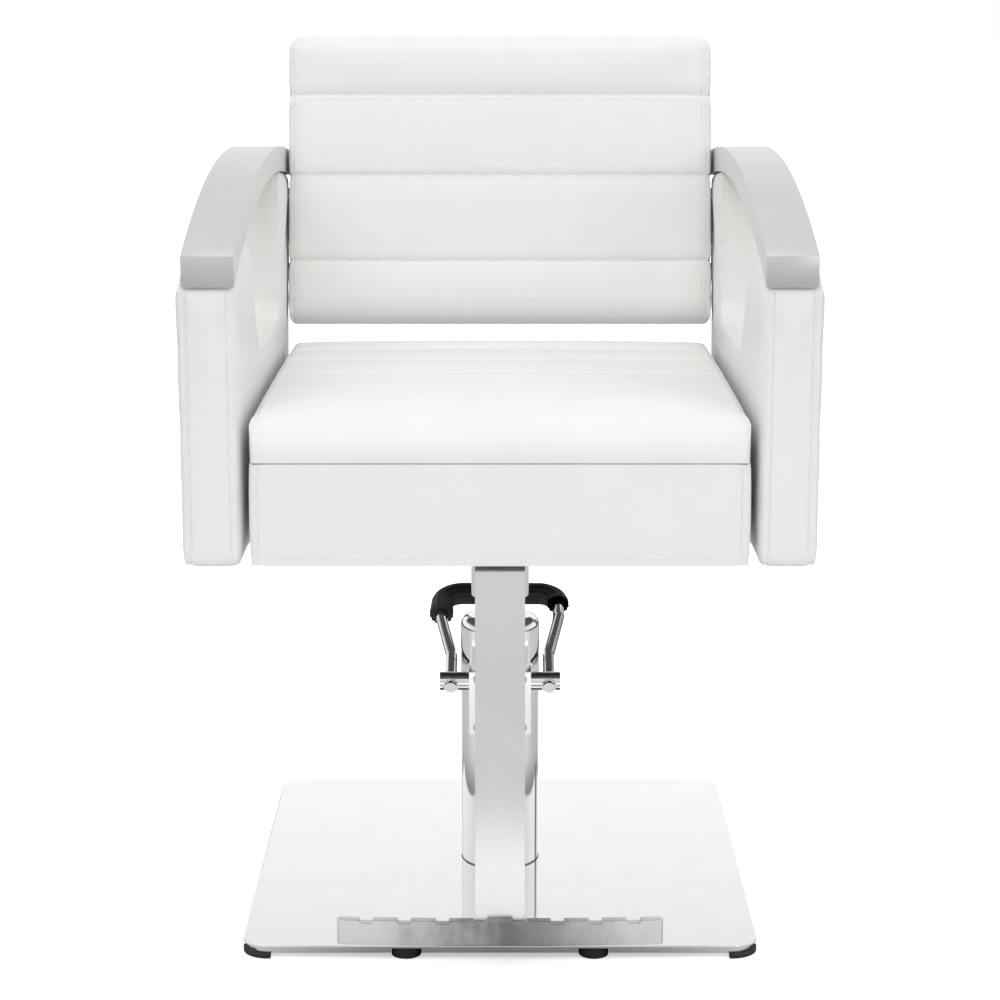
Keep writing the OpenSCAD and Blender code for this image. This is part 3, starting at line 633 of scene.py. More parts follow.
def sink(piece, depth_of):
    """Pushes each point in along its normal by the depth that a rule gives for the points."""
    spots = spots_of(piece)
    put_spots(piece, spots - normals_of(piece) * depth_of(spots)[:, None])


def finer(piece, levels=1):
    apply_modifier(piece, "SUBSURF", levels=levels, render_levels=levels,
                   boundary_smooth="PRESERVE_CORNERS")


def remember(piece, name, values):
    """Keeps one number for each point, for the finish to read."""
    piece.data.attributes.new(name, "FLOAT", "POINT").data.foreach_set("value", values.astype(np.float32))


def gather(piece, near, upright, amount=0.35 * MM):
    """Ripples the vinyl beside its seams, and tells the finish how near each point is to one."""
    spots = spots_of(piece)
    closeness = near(spots)
    run = np.where(upright(spots), spots[:, 2] + spots[:, 1], spots[:, 0])
    ripple = np.sin(run / (2.1 * MM) + 1.7 * np.sin(run / (9.0 * MM))) * 0.5
    ripple += 0.5 * np.sin(run / (3.4 * MM) + 2.3 * np.sin(run / (23.0 * MM)))
    put_spots(piece, spots + normals_of(piece) * (ripple * closeness * amount)[:, None])
    remember(piece, "near_seam", closeness)
    remember(piece, "seam_upright", upright(spots).astype(float))


def closeness_to(values, lines, reach):
    """1 on the nearest of some lines, fading out over a reach."""
    gap = np.min([np.abs(values - line) for line in lines], axis=0)
    return np.exp(-(gap / reach) ** 2)


def soften(piece, degrees=180.0):
    pick(piece)
    if degrees >= 180.0:
        bpy.ops.object.shade_smooth()
    else:
        bpy.ops.object.shade_smooth_by_angle(angle=math.radians(degrees))


print("cover helpers ready")

# %% Thread
STITCH_PITCH = 5.0 * MM
STITCH_LENGTH = 3.4 * MM
STITCH_HALF = 0.42 * MM


def one_stitch():
    """A short slug of thread, lying along X."""
    let_go()
    bpy.ops.mesh.primitive_uv_sphere_add(segments=6, ring_count=4, radius=1.0, rotation=(0, math.pi / 2, 0))
    stitch = bpy.context.object
    stitch.scale = (STITCH_HALF, STITCH_HALF, STITCH_LENGTH / 2)
    settle(stitch)
    spots = spots_of(stitch)
    faces = [tuple(face.vertices) for face in stitch.data.polygons]
    bpy.data.objects.remove(stitch)
    return spots, faces


STITCH_SPOTS, STITCH_FACES = one_stitch()


def sew(name, piece, rows, body):
    """Lays stitches along rows on a piece. A row is (start, end, direction towards the surface)."""
    pick(piece)
    bpy.context.view_layer.update()
    surface = BVHTree.FromObject(piece, bpy.context.evaluated_depsgraph_get())
    spots, faces = [], []
    for start, end, towards in rows:
        start, end, towards = Vector(start), Vector(end), Vector(towards).normalized()
        count = max(2, int((end - start).length / STITCH_PITCH))
        for i in range(count):
            begin = start.lerp(end, (i + 0.16) / count)
            finish = start.lerp(end, (i + 0.84) / count)
            first = surface.ray_cast(begin, towards)
            last = surface.ray_cast(finish, towards)
            if not first[0] or not last[0] or (first[0] - last[0]).length > STITCH_PITCH * 1.5:
                continue
            along = (last[0] - first[0]).normalized()
            up = first[1]
            across = up.cross(along).normalized()
            turn = np.array([along, across, up])
            middle = np.array((first[0] + last[0]) / 2 + up * STITCH_HALF * 0.35)
            base = len(spots) * len(STITCH_SPOTS)
            spots.append(STITCH_SPOTS @ turn + middle)
            faces += [tuple(base + index for index in face) for face in STITCH_FACES]
    mesh = bpy.data.meshes.new(name)
    mesh.from_pydata(np.concatenate(spots).tolist(), [], faces)
    row = bpy.data.objects.new(name, mesh)
    bpy.context.collection.objects.link(row)
    pick(row)
    bpy.ops.object.mode_set(mode="EDIT")
    bpy.ops.mesh.select_all(action="SELECT")
    bpy.ops.mesh.normals_make_consistent(inside=False)
    bpy.ops.object.mode_set(mode="OBJECT")
    soften(row)
    wear(row, thread_finish)
    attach(row, body)
    print(name, len(spots), "stitches")
    return row


print("a stitch has", len(STITCH_FACES), "faces")

# %% [markdown]
# ### Seat cushion
# The seat is one long top panel that rolls over the front edge, with three sewn channels towards the
# rear and a narrow boxing down each side. The block is rounded most at the front roll, cut into a grid
# so that it can bend, filled, and narrowed a little to the rear, as the frame under it is.

# %% Seat cushion block
seat_low, seat_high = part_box("seat_cushion")
FRONT_ROLL = 42.0 * MM
SEAT_GRID = 11.0 * MM
seat_half = seat_high.x
SEAT_REAR_HALF = seat_half - 5.0 * MM
SEAT_SEAMS = [0.184, 0.102, -0.006]          # channels, from the rear
BOXING = 7.0 * MM                             # from the side face to the seam beside it
seat_top = seat_high.z - 5.0 * MM
seat_front = seat_low.y + 2.5 * MM
seat_rear = seat_high.y - 3.0 * MM
SEAT_GAP = 0.3 * MM                           # clear of the box under it

seat = block("seat_cushion_cover", (-seat_half + 2.0 * MM, seat_front, seat_low.z + SEAT_GAP),
             (seat_half - 2.0 * MM, seat_rear, seat_top))


def seat_rounding(a, b):
    """The share of the front roll's radius that each edge of the block gets."""
    along_x = abs(a.x - b.x) > 0.1
    at_top = min(a.z, b.z) > seat_top - MM
    at_front = max(a.y, b.y) < seat_front + MM
    if along_x and at_top:
        return 1.0 if at_front else 0.12
    if at_top:
        return 0.2
    return 0.16 if abs(a.z - b.z) > 0.01 else 0.05


round_edges(seat, FRONT_ROLL, seat_rounding, 5)
side_seams = [seat_half - BOXING, BOXING - seat_half]
close_lines = [line + offset for line in side_seams for offset in (-SEAM_HALF, 0.0, SEAM_HALF)]
cut_across(seat, 0, close_lines + evenly(-seat_half, seat_half, SEAT_GRID, side_seams))
close_lines = [line + offset for line in SEAT_SEAMS for offset in (-SEAM_HALF, 0.0, SEAM_HALF)]
cut_across(seat, 1, close_lines + evenly(seat_front, seat_rear, SEAT_GRID, SEAT_SEAMS))
cut_across(seat, 2, [seat_low.z + 3 * MM] + evenly(seat_low.z + 3 * MM, seat_top, SEAT_GRID))
print("seat block", len(seat.data.vertices), "points")


# %% Seat cushion filled
def seat_channel(spots):
    """How near a point of the top is to a channel's seam."""
    top = spots[:, 2] > seat_top - 8 * MM
    return closeness_to(spots[:, 1], SEAT_SEAMS, 1.1 * SEAM_HALF) * top


def seat_boxing(spots):
    shown = spots[:, 2] > seat_low.z + 6 * MM
    return closeness_to(spots[:, 0], side_seams, 1.1 * SEAM_HALF) * shown


puff(seat, lambda p: (seat_channel(p) > 0.9) | (seat_boxing(p) > 0.9) | (p[:, 2] < seat_low.z + 4 * MM),
     9.0 * MM)
sink(seat, lambda p: seat_channel(p) * 2.6 * MM + seat_boxing(p) * 1.3 * MM)
finer(seat, 2)
gather(seat,
       lambda p: np.maximum(closeness_to(p[:, 1], SEAT_SEAMS, 7 * MM) * (p[:, 2] > seat_top - 12 * MM),
                            closeness_to(p[:, 0], side_seams, 6 * MM)),
       lambda p: closeness_to(p[:, 0], side_seams, 9 * MM) > 0.4, 0.25 * MM)
CROWN = 3.0 * MM            # the middle stands this much above the sides
REAR_FALL = 0.5 * MM        # the top falls towards the rear
FRONT_FALL = 4.0 * MM
HIGH_PLACE = -90.0 * MM     # where along the seat the top is highest
SIDE_HEIGHT = 593.5 * MM


def narrow_to_rear(spots):
    """Draws points in towards the rear, as the seat's box is."""
    back = (spots[:, 1] - seat_low.y) / (seat_high.y - seat_low.y)
    spots[:, 0] *= 1.0 - back * (1.0 - SEAT_REAR_HALF / seat_half)
    return spots


def crown_seat(spots):
    """Crowns the top across, and lets it fall from its high place to the front and the rear."""
    lift = np.clip((spots[:, 2] - seat_low.z) / (seat_top - seat_low.z), 0.0, 1.0)
    rearward = np.clip((spots[:, 1] - HIGH_PLACE) / (seat_rear - HIGH_PLACE), 0.0, 1.0)
    forward = np.clip((HIGH_PLACE - spots[:, 1]) / (HIGH_PLACE - seat_front), 0.0, 1.0)
    across = np.cos(np.clip(spots[:, 0] / seat_half, -1, 1) * math.pi / 2)
    spots[:, 2] += lift * (CROWN * across * (1 - rearward)
                           - REAR_FALL * rearward ** 1.5 - FRONT_FALL * forward ** 2)
    return spots


stretch_to(seat, 0, -seat_half, seat_half)
stretch_to(seat, 1, seat_low.y - 0.5 * MM, seat_high.y - MM)
stretch_to(seat, 2, seat_low.z + SEAT_GAP, SIDE_HEIGHT)
put_spots(seat, crown_seat(narrow_to_rear(spots_of(seat))))
soften(seat)
wear(seat, finishes["white_vinyl"])
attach(seat, "chair")
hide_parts("seat_cushion")
print("seat cover", len(seat.data.polygons), "faces, top at", round(float(spots_of(seat)[:, 2].max()), 4))

# %% Seat stitches
DOWN = (0, 0, -1)
above = seat_high.z + 0.05
row_half = SEAT_REAR_HALF - BOXING - 4 * MM
rows = [((-row_half, y - 3.4 * MM, above), (row_half, y - 3.4 * MM, above), DOWN) for y in SEAT_SEAMS]
for side in (-1, 1):
    rows.append(((side * (seat_half - BOXING - 3.2 * MM), seat_front + 25 * MM, above),
                 (side * (SEAT_REAR_HALF - BOXING - 3.2 * MM), seat_rear - 8 * MM, above), DOWN))
sew("seat_stitches", seat, rows, "chair")

# %% [markdown]
# ### Backrest
# The backrest is upholstered flat on the bench and then leaned back, so it is modelled upright in its
# own place: X across, Y through its thickness, Z up along it. Three seams make four channels. The lower
# edge is a big soft roll. Its rear has a pocket for the plywood board, closed by the rear cover.

# %% Backrest block
RECLINE = math.radians(12.0)
BACK_FOOT = Vector((0.0, 0.250, 0.612))
BACK_LENGTH = 345.0 * MM
BACK_SEAMS = [75.5 * MM, 176.5 * MM, 272.0 * MM]
PAD_REAR = 46.0 * MM
COVER_REAR = 78.0 * MM
POCKET = 16.2 * MM
POCKET_MARGIN = 7.5 * MM
PAD_GRID = 10.0 * MM
back_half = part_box("back_pad")[1].x
PIPING = 6.0 * MM
BULGE = 3.5 * MM              # the covers stand this far out past the foam at each side
PAD_FRONT = 4.0 * MM


def lean_back(piece):
    """Puts an upright backrest piece in its place on the chair."""
    piece.location = BACK_FOOT
    piece.rotation_euler = (-RECLINE, 0.0, 0.0)
    settle(piece)


def leaned(x, y, z):
    """Where a spot of the upright backrest comes to lie."""
    return Matrix.Rotation(-RECLINE, 3, "X") @ Vector((x, y, z)) + BACK_FOOT


pad = block("back_pad_cover", (-back_half + 1.5 * MM, PAD_FRONT, 1.5 * MM),
            (back_half - 1.5 * MM, PAD_REAR - 0.3 * MM, BACK_LENGTH - 1.5 * MM))


def pad_rounding(a, b):
    """The share of the lower roll's radius that each edge of the backrest pad gets."""
    front = max(a.y, b.y) < PAD_FRONT + MM
    upright = abs(a.z - b.z) > 0.1
    low = max(a.z, b.z) < 10 * MM
    if abs(a.x - b.x) > 0.1:
        return (1.0 if low else 0.55) if front else 0.12
    if upright:
        return 0.26 if front else 0.1
    return 0.26 if low else 0.6


round_edges(pad, 28.0 * MM, pad_rounding, 5)
select_where(pad, "FACE", lambda middle, normal: normal.y > 0.99)
bpy.ops.mesh.inset(thickness=POCKET_MARGIN)
bpy.ops.mesh.extrude_region_move(TRANSFORM_OT_translate={"value": (0.0, -POCKET, 0.0)})
bpy.ops.object.mode_set(mode="OBJECT")
piping_lines = [back_half - PIPING, PIPING - back_half]
close_lines = [line + offset for line in piping_lines for offset in (-SEAM_HALF, 0.0, SEAM_HALF)]
cut_across(pad, 0, close_lines + evenly(-back_half, back_half, PAD_GRID, piping_lines))
close_lines = [line + offset for line in BACK_SEAMS for offset in (-SEAM_HALF, 0.0, SEAM_HALF)]
cut_across(pad, 2, close_lines + evenly(0.0, BACK_LENGTH, PAD_GRID, BACK_SEAMS))
cut_across(pad, 1, evenly(PAD_FRONT, PAD_REAR, PAD_GRID))
print("backrest block", len(pad.data.vertices), "points")


# %% Backrest filled
def pad_channel(spots):
    front = spots[:, 1] < PAD_FRONT + 12 * MM
    return closeness_to(spots[:, 2], BACK_SEAMS, 1.1 * SEAM_HALF) * front


def pad_piping(spots):
    front = spots[:, 1] < PAD_REAR - 12 * MM
    return closeness_to(spots[:, 0], piping_lines, 1.1 * SEAM_HALF) * front


puff(pad, lambda p: (pad_channel(p) > 0.9) | (pad_piping(p) > 0.9) | (p[:, 1] > PAD_REAR - POCKET - MM),
     7.5 * MM)
sink(pad, lambda p: pad_channel(p) * 3.4 * MM + pad_piping(p) * 1.6 * MM)
finer(pad, 2)
gather(pad,
       lambda p: np.maximum(closeness_to(p[:, 2], BACK_SEAMS, 8 * MM) * (p[:, 1] < PAD_FRONT + 20 * MM),
                            closeness_to(p[:, 0], piping_lines, 6 * MM)),
       lambda p: closeness_to(p[:, 0], piping_lines, 8 * MM) > 0.4, 0.3 * MM)
stretch_to(pad, 0, -back_half - BULGE, back_half + BULGE)
stretch_to(pad, 1, 0.0, PAD_REAR - 0.3 * MM)
stretch_to(pad, 2, -4.0 * MM, BACK_LENGTH + 2.0 * MM)
lean_back(pad)
soften(pad, 60)
wear(pad, finishes["white_vinyl"])
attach(pad, "chair")
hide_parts("back_pad")
print("backrest cover", len(pad.data.polygons), "faces")

# %% Backrest stitches
inward = leaned(0, 1, 0) - leaned(0, 0, 0)
STAND_OFF = -40.0 * MM
row_half = back_half - PIPING - 5 * MM
rows = [(leaned(-row_half, STAND_OFF, z - 4.2 * MM), leaned(row_half, STAND_OFF, z - 4.2 * MM), inward)
        for z in BACK_SEAMS]
for side in (-1, 1):
    x = side * (back_half - PIPING - 3.2 * MM)
    rows.append((leaned(x, STAND_OFF, 20 * MM), leaned(x, STAND_OFF, BACK_LENGTH - 14 * MM), inward))
sew("back_stitches", pad, rows, "chair")

# %% [markdown]
# ### Rear cover of the backrest
# A second, flatter pad closes the back. It is stapled round its edge and pulled tight over thin foam, so
# it is a block with a generous roll on its outer edge and one seam a hand's width below the top.

# %% Rear cover
REAR_SEAM = 262.0 * MM
cover = block("back_cover_pad", (-back_half + 1.5 * MM, PAD_REAR + 0.3 * MM, 3.5 * MM),
              (back_half - 1.5 * MM, COVER_REAR - 4.0 * MM, BACK_LENGTH - 3.5 * MM))
round_edges(cover, 14.0 * MM,
            lambda a, b: 1.0 if min(a.y, b.y) > COVER_REAR - 6 * MM
            else (0.8 if abs(a.y - b.y) > MM else 0.15), 4)
cut_across(cover, 0, evenly(-back_half, back_half, PAD_GRID))
cut_across(cover, 2, [REAR_SEAM - SEAM_HALF, REAR_SEAM, REAR_SEAM + SEAM_HALF]
           + evenly(0.0, BACK_LENGTH, PAD_GRID, [REAR_SEAM]))
cut_across(cover, 1, evenly(PAD_REAR, COVER_REAR, PAD_GRID))


def rear_seam(spots):
    return closeness_to(spots[:, 2], [REAR_SEAM], 1.1 * SEAM_HALF) * (spots[:, 1] > PAD_REAR + 8 * MM)


puff(cover, lambda p: (rear_seam(p) > 0.9) | (p[:, 1] < PAD_REAR + 2 * MM), 5.0 * MM)
sink(cover, lambda p: rear_seam(p) * 1.8 * MM)
finer(cover, 1)
gather(cover, lambda p: closeness_to(p[:, 2], [REAR_SEAM], 8 * MM) * (p[:, 1] > PAD_REAR + 8 * MM),
       lambda p: p[:, 2] < -1.0, 0.25 * MM)
stretch_to(cover, 0, -back_half - BULGE, back_half + BULGE)
stretch_to(cover, 2, MM, BACK_LENGTH - MM)
lean_back(cover)
soften(cover, 60)
wear(cover, finishes["white_vinyl"])
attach(cover, "chair")
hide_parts("back_cover")
FAR_SIDE = COVER_REAR + 40.0 * MM
sew("back_cover_stitches", cover,
    [(leaned(-row_half, FAR_SIDE, REAR_SEAM + 4 * MM),
      leaned(row_half, FAR_SIDE, REAR_SEAM + 4 * MM), -inward)],
    "chair")
print("rear cover", len(cover.data.polygons), "faces")

# %% [markdown]
# ### Seat box
# Vinyl over thin foam, glued round the plywood box under the cushion: a ring, open above and below. Its
# corners are eased, its upper edge rolls in to the seam, and a hem closes the lower edge.

# %% Seat box ring
skirt_low, skirt_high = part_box("seat_skirt")
SKIRT_WALL = 10.0 * MM
SKIRT_SWELL = 1.6 * MM
skirt = block("seat_box_cover",
              (-seat_half + SKIRT_SWELL, skirt_low.y + SKIRT_SWELL, skirt_low.z + 0.5 * MM),
              (seat_half - SKIRT_SWELL, skirt_high.y - SKIRT_SWELL, skirt_high.z - 0.5 * MM))
round_edges(skirt, 7.0 * MM, lambda a, b: 1.0 if abs(a.z - b.z) > 0.05 else 0.0, 4)
select_where(skirt, "FACE", lambda middle, normal: abs(normal.z) > 0.9)
bpy.ops.mesh.inset(thickness=SKIRT_WALL - SKIRT_SWELL - 0.2 * MM)
bpy.ops.mesh.bridge_edge_loops()
bpy.ops.object.mode_set(mode="OBJECT")


def outer_rim(a, b):
    """1 on the ring's outer upper and lower edges."""
    level = abs(a.z - b.z) < MM
    outside = max(abs(a.x), abs(b.x)) > seat_half - 3 * MM or min(a.y, b.y) < skirt_low.y + 3 * MM \
        or max(a.y, b.y) > skirt_high.y - 3 * MM
    inside = all(abs(p.x) < seat_half - 8 * MM and skirt_low.y + 8 * MM < p.y < skirt_high.y - 8 * MM
                 for p in (a, b))
    return 1.0 if level and outside and not inside else 0.0


round_edges(skirt, 2.0 * MM, outer_rim, 3)
close_lines = [line + offset for line in side_seams for offset in (-SEAM_HALF, 0.0, SEAM_HALF)]
cut_across(skirt, 0, close_lines + evenly(-seat_half, seat_half, 16 * MM, side_seams))
cut_across(skirt, 1, evenly(skirt_low.y, skirt_high.y, 16 * MM))
HEM = skirt_low.z + 6.5 * MM
skirt_brow = skirt_high.z - 3 * MM
cut_across(skirt, 2, [HEM - 1.5 * MM, HEM, HEM + 1.5 * MM]
           + evenly(skirt_low.z, skirt_brow, 14 * MM, [HEM]) + [skirt_brow])


# %% Seat box cover drawn tight
def skirt_outside(spots):
    """True on the skirt's outer faces."""
    return (np.abs(spots[:, 0]) > seat_half - 5 * MM) | (spots[:, 1] < skirt_low.y + 5 * MM) \
        | (spots[:, 1] > skirt_high.y - 5 * MM)


def skirt_seams(spots):
    upright = closeness_to(spots[:, 0], side_seams, 1.2 * SEAM_HALF) * (spots[:, 1] < skirt_low.y + 5 * MM)
    hem = closeness_to(spots[:, 2], [HEM], 1.5 * MM)
    return np.maximum(upright, hem * 0.6) * skirt_outside(spots)


def skirt_swell(spots):
    """How far the foam pushes each outer face out: most in the middle of its height."""
    height = np.clip((spots[:, 2] - skirt_low.z) / (skirt_high.z - skirt_low.z), 0, 1)
    return np.sin(height * math.pi) ** 0.5 * skirt_outside(spots) * SKIRT_SWELL


sink(skirt, lambda p: skirt_seams(p) * 1.2 * MM - skirt_swell(p))
finer(skirt, 2)
gather(skirt,
       lambda p: np.maximum(closeness_to(p[:, 0], side_seams, 5 * MM),
                            closeness_to(p[:, 2], [HEM], 3 * MM)) * 0.8,
       lambda p: closeness_to(p[:, 0], side_seams, 6 * MM) > 0.4, 0.2 * MM)
stretch_to(skirt, 2, skirt_low.z - 3.4 * MM, skirt_high.z)
stretch_to(skirt, 0, -seat_half, seat_half)
put_spots(skirt, narrow_to_rear(spots_of(skirt)))
soften(skirt, 60)
wear(skirt, finishes["white_vinyl"])
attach(skirt, "chair")
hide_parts("seat_skirt")
before_skirt = skirt_low.y - 0.05
rows = []
for side in (-1, 1):
    x = side * (seat_half - BOXING - 3.4 * MM)
    rows.append(((x, before_skirt, skirt_low.z + 9 * MM),
                 (x, before_skirt, skirt_high.z - 4 * MM), (0, 1, 0)))
sew("seat_box_stitches", skirt, rows, "chair")
print("seat box cover", len(skirt.data.polygons), "faces")

# %% [markdown]
# ### Arms
# Each arm is a plywood shape wrapped in foam: two side panels and one long band round the edge, sewn
# together a few millimetres in from each side. A leaf-shaped window opens under the metal cap. The
# outline is cut from a block, rounded, remeshed into even quads, filled, and only then seamed, because
# a remesh wipes out any line narrower than its grid. The left arm is the right one mirrored.

# %% Arm outline
ARM_INNER = 265.5 * MM
ARM_THICK = 62.0 * MM
ARM_FRONT = -270.0 * MM
ARM_LOW = 430.0 * MM
ARM_TOE = math.radians(0.62)
REAR_LOW, REAR_HIGH = 277.0 * MM, 360.0 * MM
CAP_RADIUS = 1188.0 * MM
CAP_HEIGHT = 29.5 * MM
ARC_Y, ARC_Z = 150.0 * MM, -363.5 * MM
CAP_TOP = ARC_Z + CAP_RADIUS
ARM_SWELL = 1.8 * MM
ARM_VOXEL = 5.0 * MM
ARM_SEAM = 8.0 * MM
ARM_FULLNESS = 1.5 * MM      # the foam swells this far past the outer side


def toe_in(piece):
    """Turns a straight arm piece in towards the back, about its front inner corner."""
    corner = Vector((ARM_INNER, ARM_FRONT, 0.0))
    piece.data.transform(Matrix.Translation(corner) @ Matrix.Rotation(ARM_TOE, 4, "Z")
                         @ Matrix.Translation(-corner))


def trim(piece, place, normal):
    """Cuts off what lies beyond a plane and closes the cut."""
    pick(piece)
    bpy.ops.object.mode_set(mode="EDIT")
    bpy.ops.mesh.select_all(action="SELECT")
    bpy.ops.mesh.bisect(plane_co=place, plane_no=normal, use_fill=True, clear_outer=True)
    bpy.ops.object.mode_set(mode="OBJECT")


def rod_along_x(name, y, z, radius, low, high, sides=64):
    let_go()
    bpy.ops.mesh.primitive_cylinder_add(vertices=sides, radius=radius, depth=high - low,
                                        location=((low + high) / 2, y, z), rotation=(0, math.pi / 2, 0))
    rod = bpy.context.object
    rod.name = name
    settle(rod)
    return rod


def combine(piece, tool, operation):
    apply_modifier(piece, "BOOLEAN", object=tool, operation=operation, solver="EXACT")
    bpy.data.objects.remove(tool)


arm = block("right_arm_cover", (ARM_INNER + ARM_SWELL, ARM_FRONT + ARM_SWELL, ARM_LOW + ARM_SWELL),
            (ARM_INNER + ARM_THICK - ARM_SWELL, REAR_HIGH, CAP_TOP))
lean = math.atan2(REAR_HIGH - REAR_LOW, CAP_TOP - ARM_LOW)
trim(arm, (0, REAR_LOW - ARM_SWELL, ARM_LOW), (0, math.cos(lean), -math.sin(lean)))
round_edges(arm, 14.0 * MM, lambda a, b: 1.0 if abs(a.x - b.x) > 0.01 and max(a.z, b.z) < 0.5 else 0.0, 6)
arc_rod = rod_along_x("arm_arc", ARC_Y, ARC_Z, CAP_RADIUS - CAP_HEIGHT - 0.3 * MM, 0.2, 0.4, 720)
combine(arm, arc_rod, "INTERSECT")
print("arm outline", len(arm.data.polygons), "faces")

# %% Arm window
WINDOW_LOW = 622.0 * MM
WINDOW_FRONT, WINDOW_REAR = -32 * MM, 208 * MM    # the ends of its level lower edge
WINDOW_ABOVE = 0.9                                # past the cap, so that the cut runs out at the top
FRONT_SLOPE = (-150 + 32) / (778 - 622)           # the leaf's long front edge: 118 mm over 156 mm
window = block("window_tool", (ARM_INNER - 0.05, -150 * MM, WINDOW_LOW),
               (ARM_INNER + 0.12, 248 * MM, WINDOW_ABOVE))
for spot in window.data.vertices:
    if spot.co.z < 0.7:
        spot.co.y = WINDOW_FRONT if spot.co.y < 0 else WINDOW_REAR
for spot in window.data.vertices:
    if spot.co.z > 0.8 and spot.co.y < 0:
        spot.co.y = WINDOW_FRONT + FRONT_SLOPE * (WINDOW_ABOVE - WINDOW_LOW)
round_edges(window, 30.0 * MM,
            lambda a, b: (1.0 if a.y < 0 else 0.73)
            if abs(a.x - b.x) > 0.05 and max(a.z, b.z) < 0.7 else 0.0, 8)
combine(arm, window, "DIFFERENCE")
apply_modifier(arm, "BEVEL", width=7.0 * MM, segments=4, limit_method="ANGLE", angle_limit=math.radians(50))
apply_modifier(arm, "REMESH", mode="VOXEL", voxel_size=ARM_VOXEL)
print("arm remeshed", len(arm.data.polygons), "faces")

# %% Arm filled and seamed
arm_top = CAP_RADIUS - CAP_HEIGHT


def under_cap(spots):
    """True where the arm bears against the metal cap."""
    return np.hypot(spots[:, 1] - ARC_Y, spots[:, 2] - ARC_Z) > arm_top - 4 * MM


puff(arm, under_cap, 2.6 * MM)
apply_modifier(arm, "SMOOTH", factor=0.5, iterations=3)
arm_lines = [ARM_INNER + ARM_SEAM, ARM_INNER + ARM_THICK - ARM_SEAM]
cut_across(arm, 0, [line + offset for line in arm_lines for offset in (-SEAM_HALF, 0.0, SEAM_HALF)])


def arm_band(spots):
    return closeness_to(spots[:, 0], arm_lines, 1.1 * SEAM_HALF)


sink(arm, lambda p: arm_band(p) * 1.5 * MM * ~under_cap(p))
finer(arm, 1)
gather(arm, lambda p: closeness_to(p[:, 0], arm_lines, 5 * MM) * ~under_cap(p),
       lambda p: p[:, 2] > 0, 0.22 * MM)
ARM_BOTTOM = ARM_LOW - 6.5 * MM           # the cover wraps under the plywood
stretch_to(arm, 0, ARM_INNER, ARM_INNER + ARM_THICK + ARM_FULLNESS)
spots = spots_of(arm)
reach = np.clip((arm_top + ARC_Z - spots[:, 2]) / (arm_top + ARC_Z - spots[:, 2].min()), 0.0, 1.0)
spots[:, 2] -= reach * (spots[:, 2].min() - ARM_BOTTOM)
forward = np.clip((0.1 - spots[:, 1]) / (0.1 - spots[:, 1].min()), 0.0, 1.0)
spots[:, 1] -= forward * (spots[:, 1].min() - ARM_FRONT)
put_spots(arm, spots)
toe_in(arm)
soften(arm)
wear(arm, finishes["white_vinyl"])
print("right arm", len(arm.data.polygons), "faces")


# %% Left arm and the stitches of both
def mirrored(piece, name):
    """A copy on the other side of the chair, with its own mesh, turned the right way out."""
    pick(piece)
    bpy.ops.object.duplicate()
    copy = bpy.context.object
    copy.name = name
    copy.data.name = name
    copy.scale = (-1.0, 1.0, 1.0)
    settle(copy)
    bpy.ops.object.mode_set(mode="EDIT")
    bpy.ops.mesh.select_all(action="SELECT")
    bpy.ops.mesh.normals_make_consistent(inside=False)
    bpy.ops.object.mode_set(mode="OBJECT")
    return copy


left_arm = mirrored(arm, "left_arm_cover")
toe = math.tan(ARM_TOE)
FRONT_ROW_TOP, REAR_ROW_TOP = 0.738, 0.755   # where the stitches run up to, under the cap
for side, cover_piece in (("right", arm), ("left", left_arm)):
    sign = 1 if side == "right" else -1
    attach(cover_piece, "chair")
    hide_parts(side + "_arm_pad")
    rows = []
    for line, off in zip(arm_lines, (3.2 * MM, -3.2 * MM)):
        front_x = sign * (line + off)
        rear_x = sign * (line + off - (REAR_LOW - ARM_FRONT) * toe)
        rows.append(((front_x, ARM_FRONT - 0.04, ARM_LOW + 12 * MM),
                     (front_x, ARM_FRONT - 0.04, FRONT_ROW_TOP), (0, 1, 0)))
        rows.append(((rear_x, REAR_HIGH + 0.04, ARM_LOW + 12 * MM),
                     (rear_x, REAR_HIGH + 0.04, REAR_ROW_TOP), (0, -1, 0)))
        rows.append(((front_x, ARM_FRONT + 12 * MM, 0.4), (rear_x, REAR_LOW - 14 * MM, 0.4), (0, 0, 1)))
    sew(side + "_arm_stitches", cover_piece, rows, "chair")
print("both arms covered")

# %% [markdown]
# ## Metal
# Sheet, bar and castings never have knife edges: they are deburred, so each edge carries a thin bright
# line. A copy of a frame piece is merged, because its triangles are loose, its flat faces are dissolved
# back into single ones, and a narrow bevel goes round. The frame piece itself stays as it is.

# %% Deburred copies of frame pieces
def deburred(node, edge, body, slot, steps=2, sharp=25.0):
    """A copy of a frame piece whose sharp edges are broken by a narrow rounded bevel."""
    original = frame["nodes"][node]
    piece = bpy.data.objects.new(node + "_finished", original.data.copy())
    bpy.context.collection.objects.link(piece)
    pick(piece)
    bpy.ops.object.mode_set(mode="EDIT")
    bpy.ops.mesh.select_all(action="SELECT")
    bpy.ops.mesh.remove_doubles(threshold=0.02 * MM)
    bpy.ops.mesh.dissolve_limited(angle_limit=math.radians(0.1))
    bpy.ops.object.mode_set(mode="OBJECT")
    if "custom_normal" in piece.data.attributes:
        piece.data.attributes.remove(piece.data.attributes["custom_normal"])
    apply_modifier(piece, "BEVEL", width=edge, segments=steps, limit_method="ANGLE",
                   angle_limit=math.radians(sharp), use_clamp_overlap=True, harden_normals=False)
    soften(piece, 20)
    wear(piece, OWN_FINISH.get(node, finishes[slot]))
    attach(piece, body)
    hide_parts(node)
    print(piece.name, len(piece.data.polygons), "faces")
    return piece


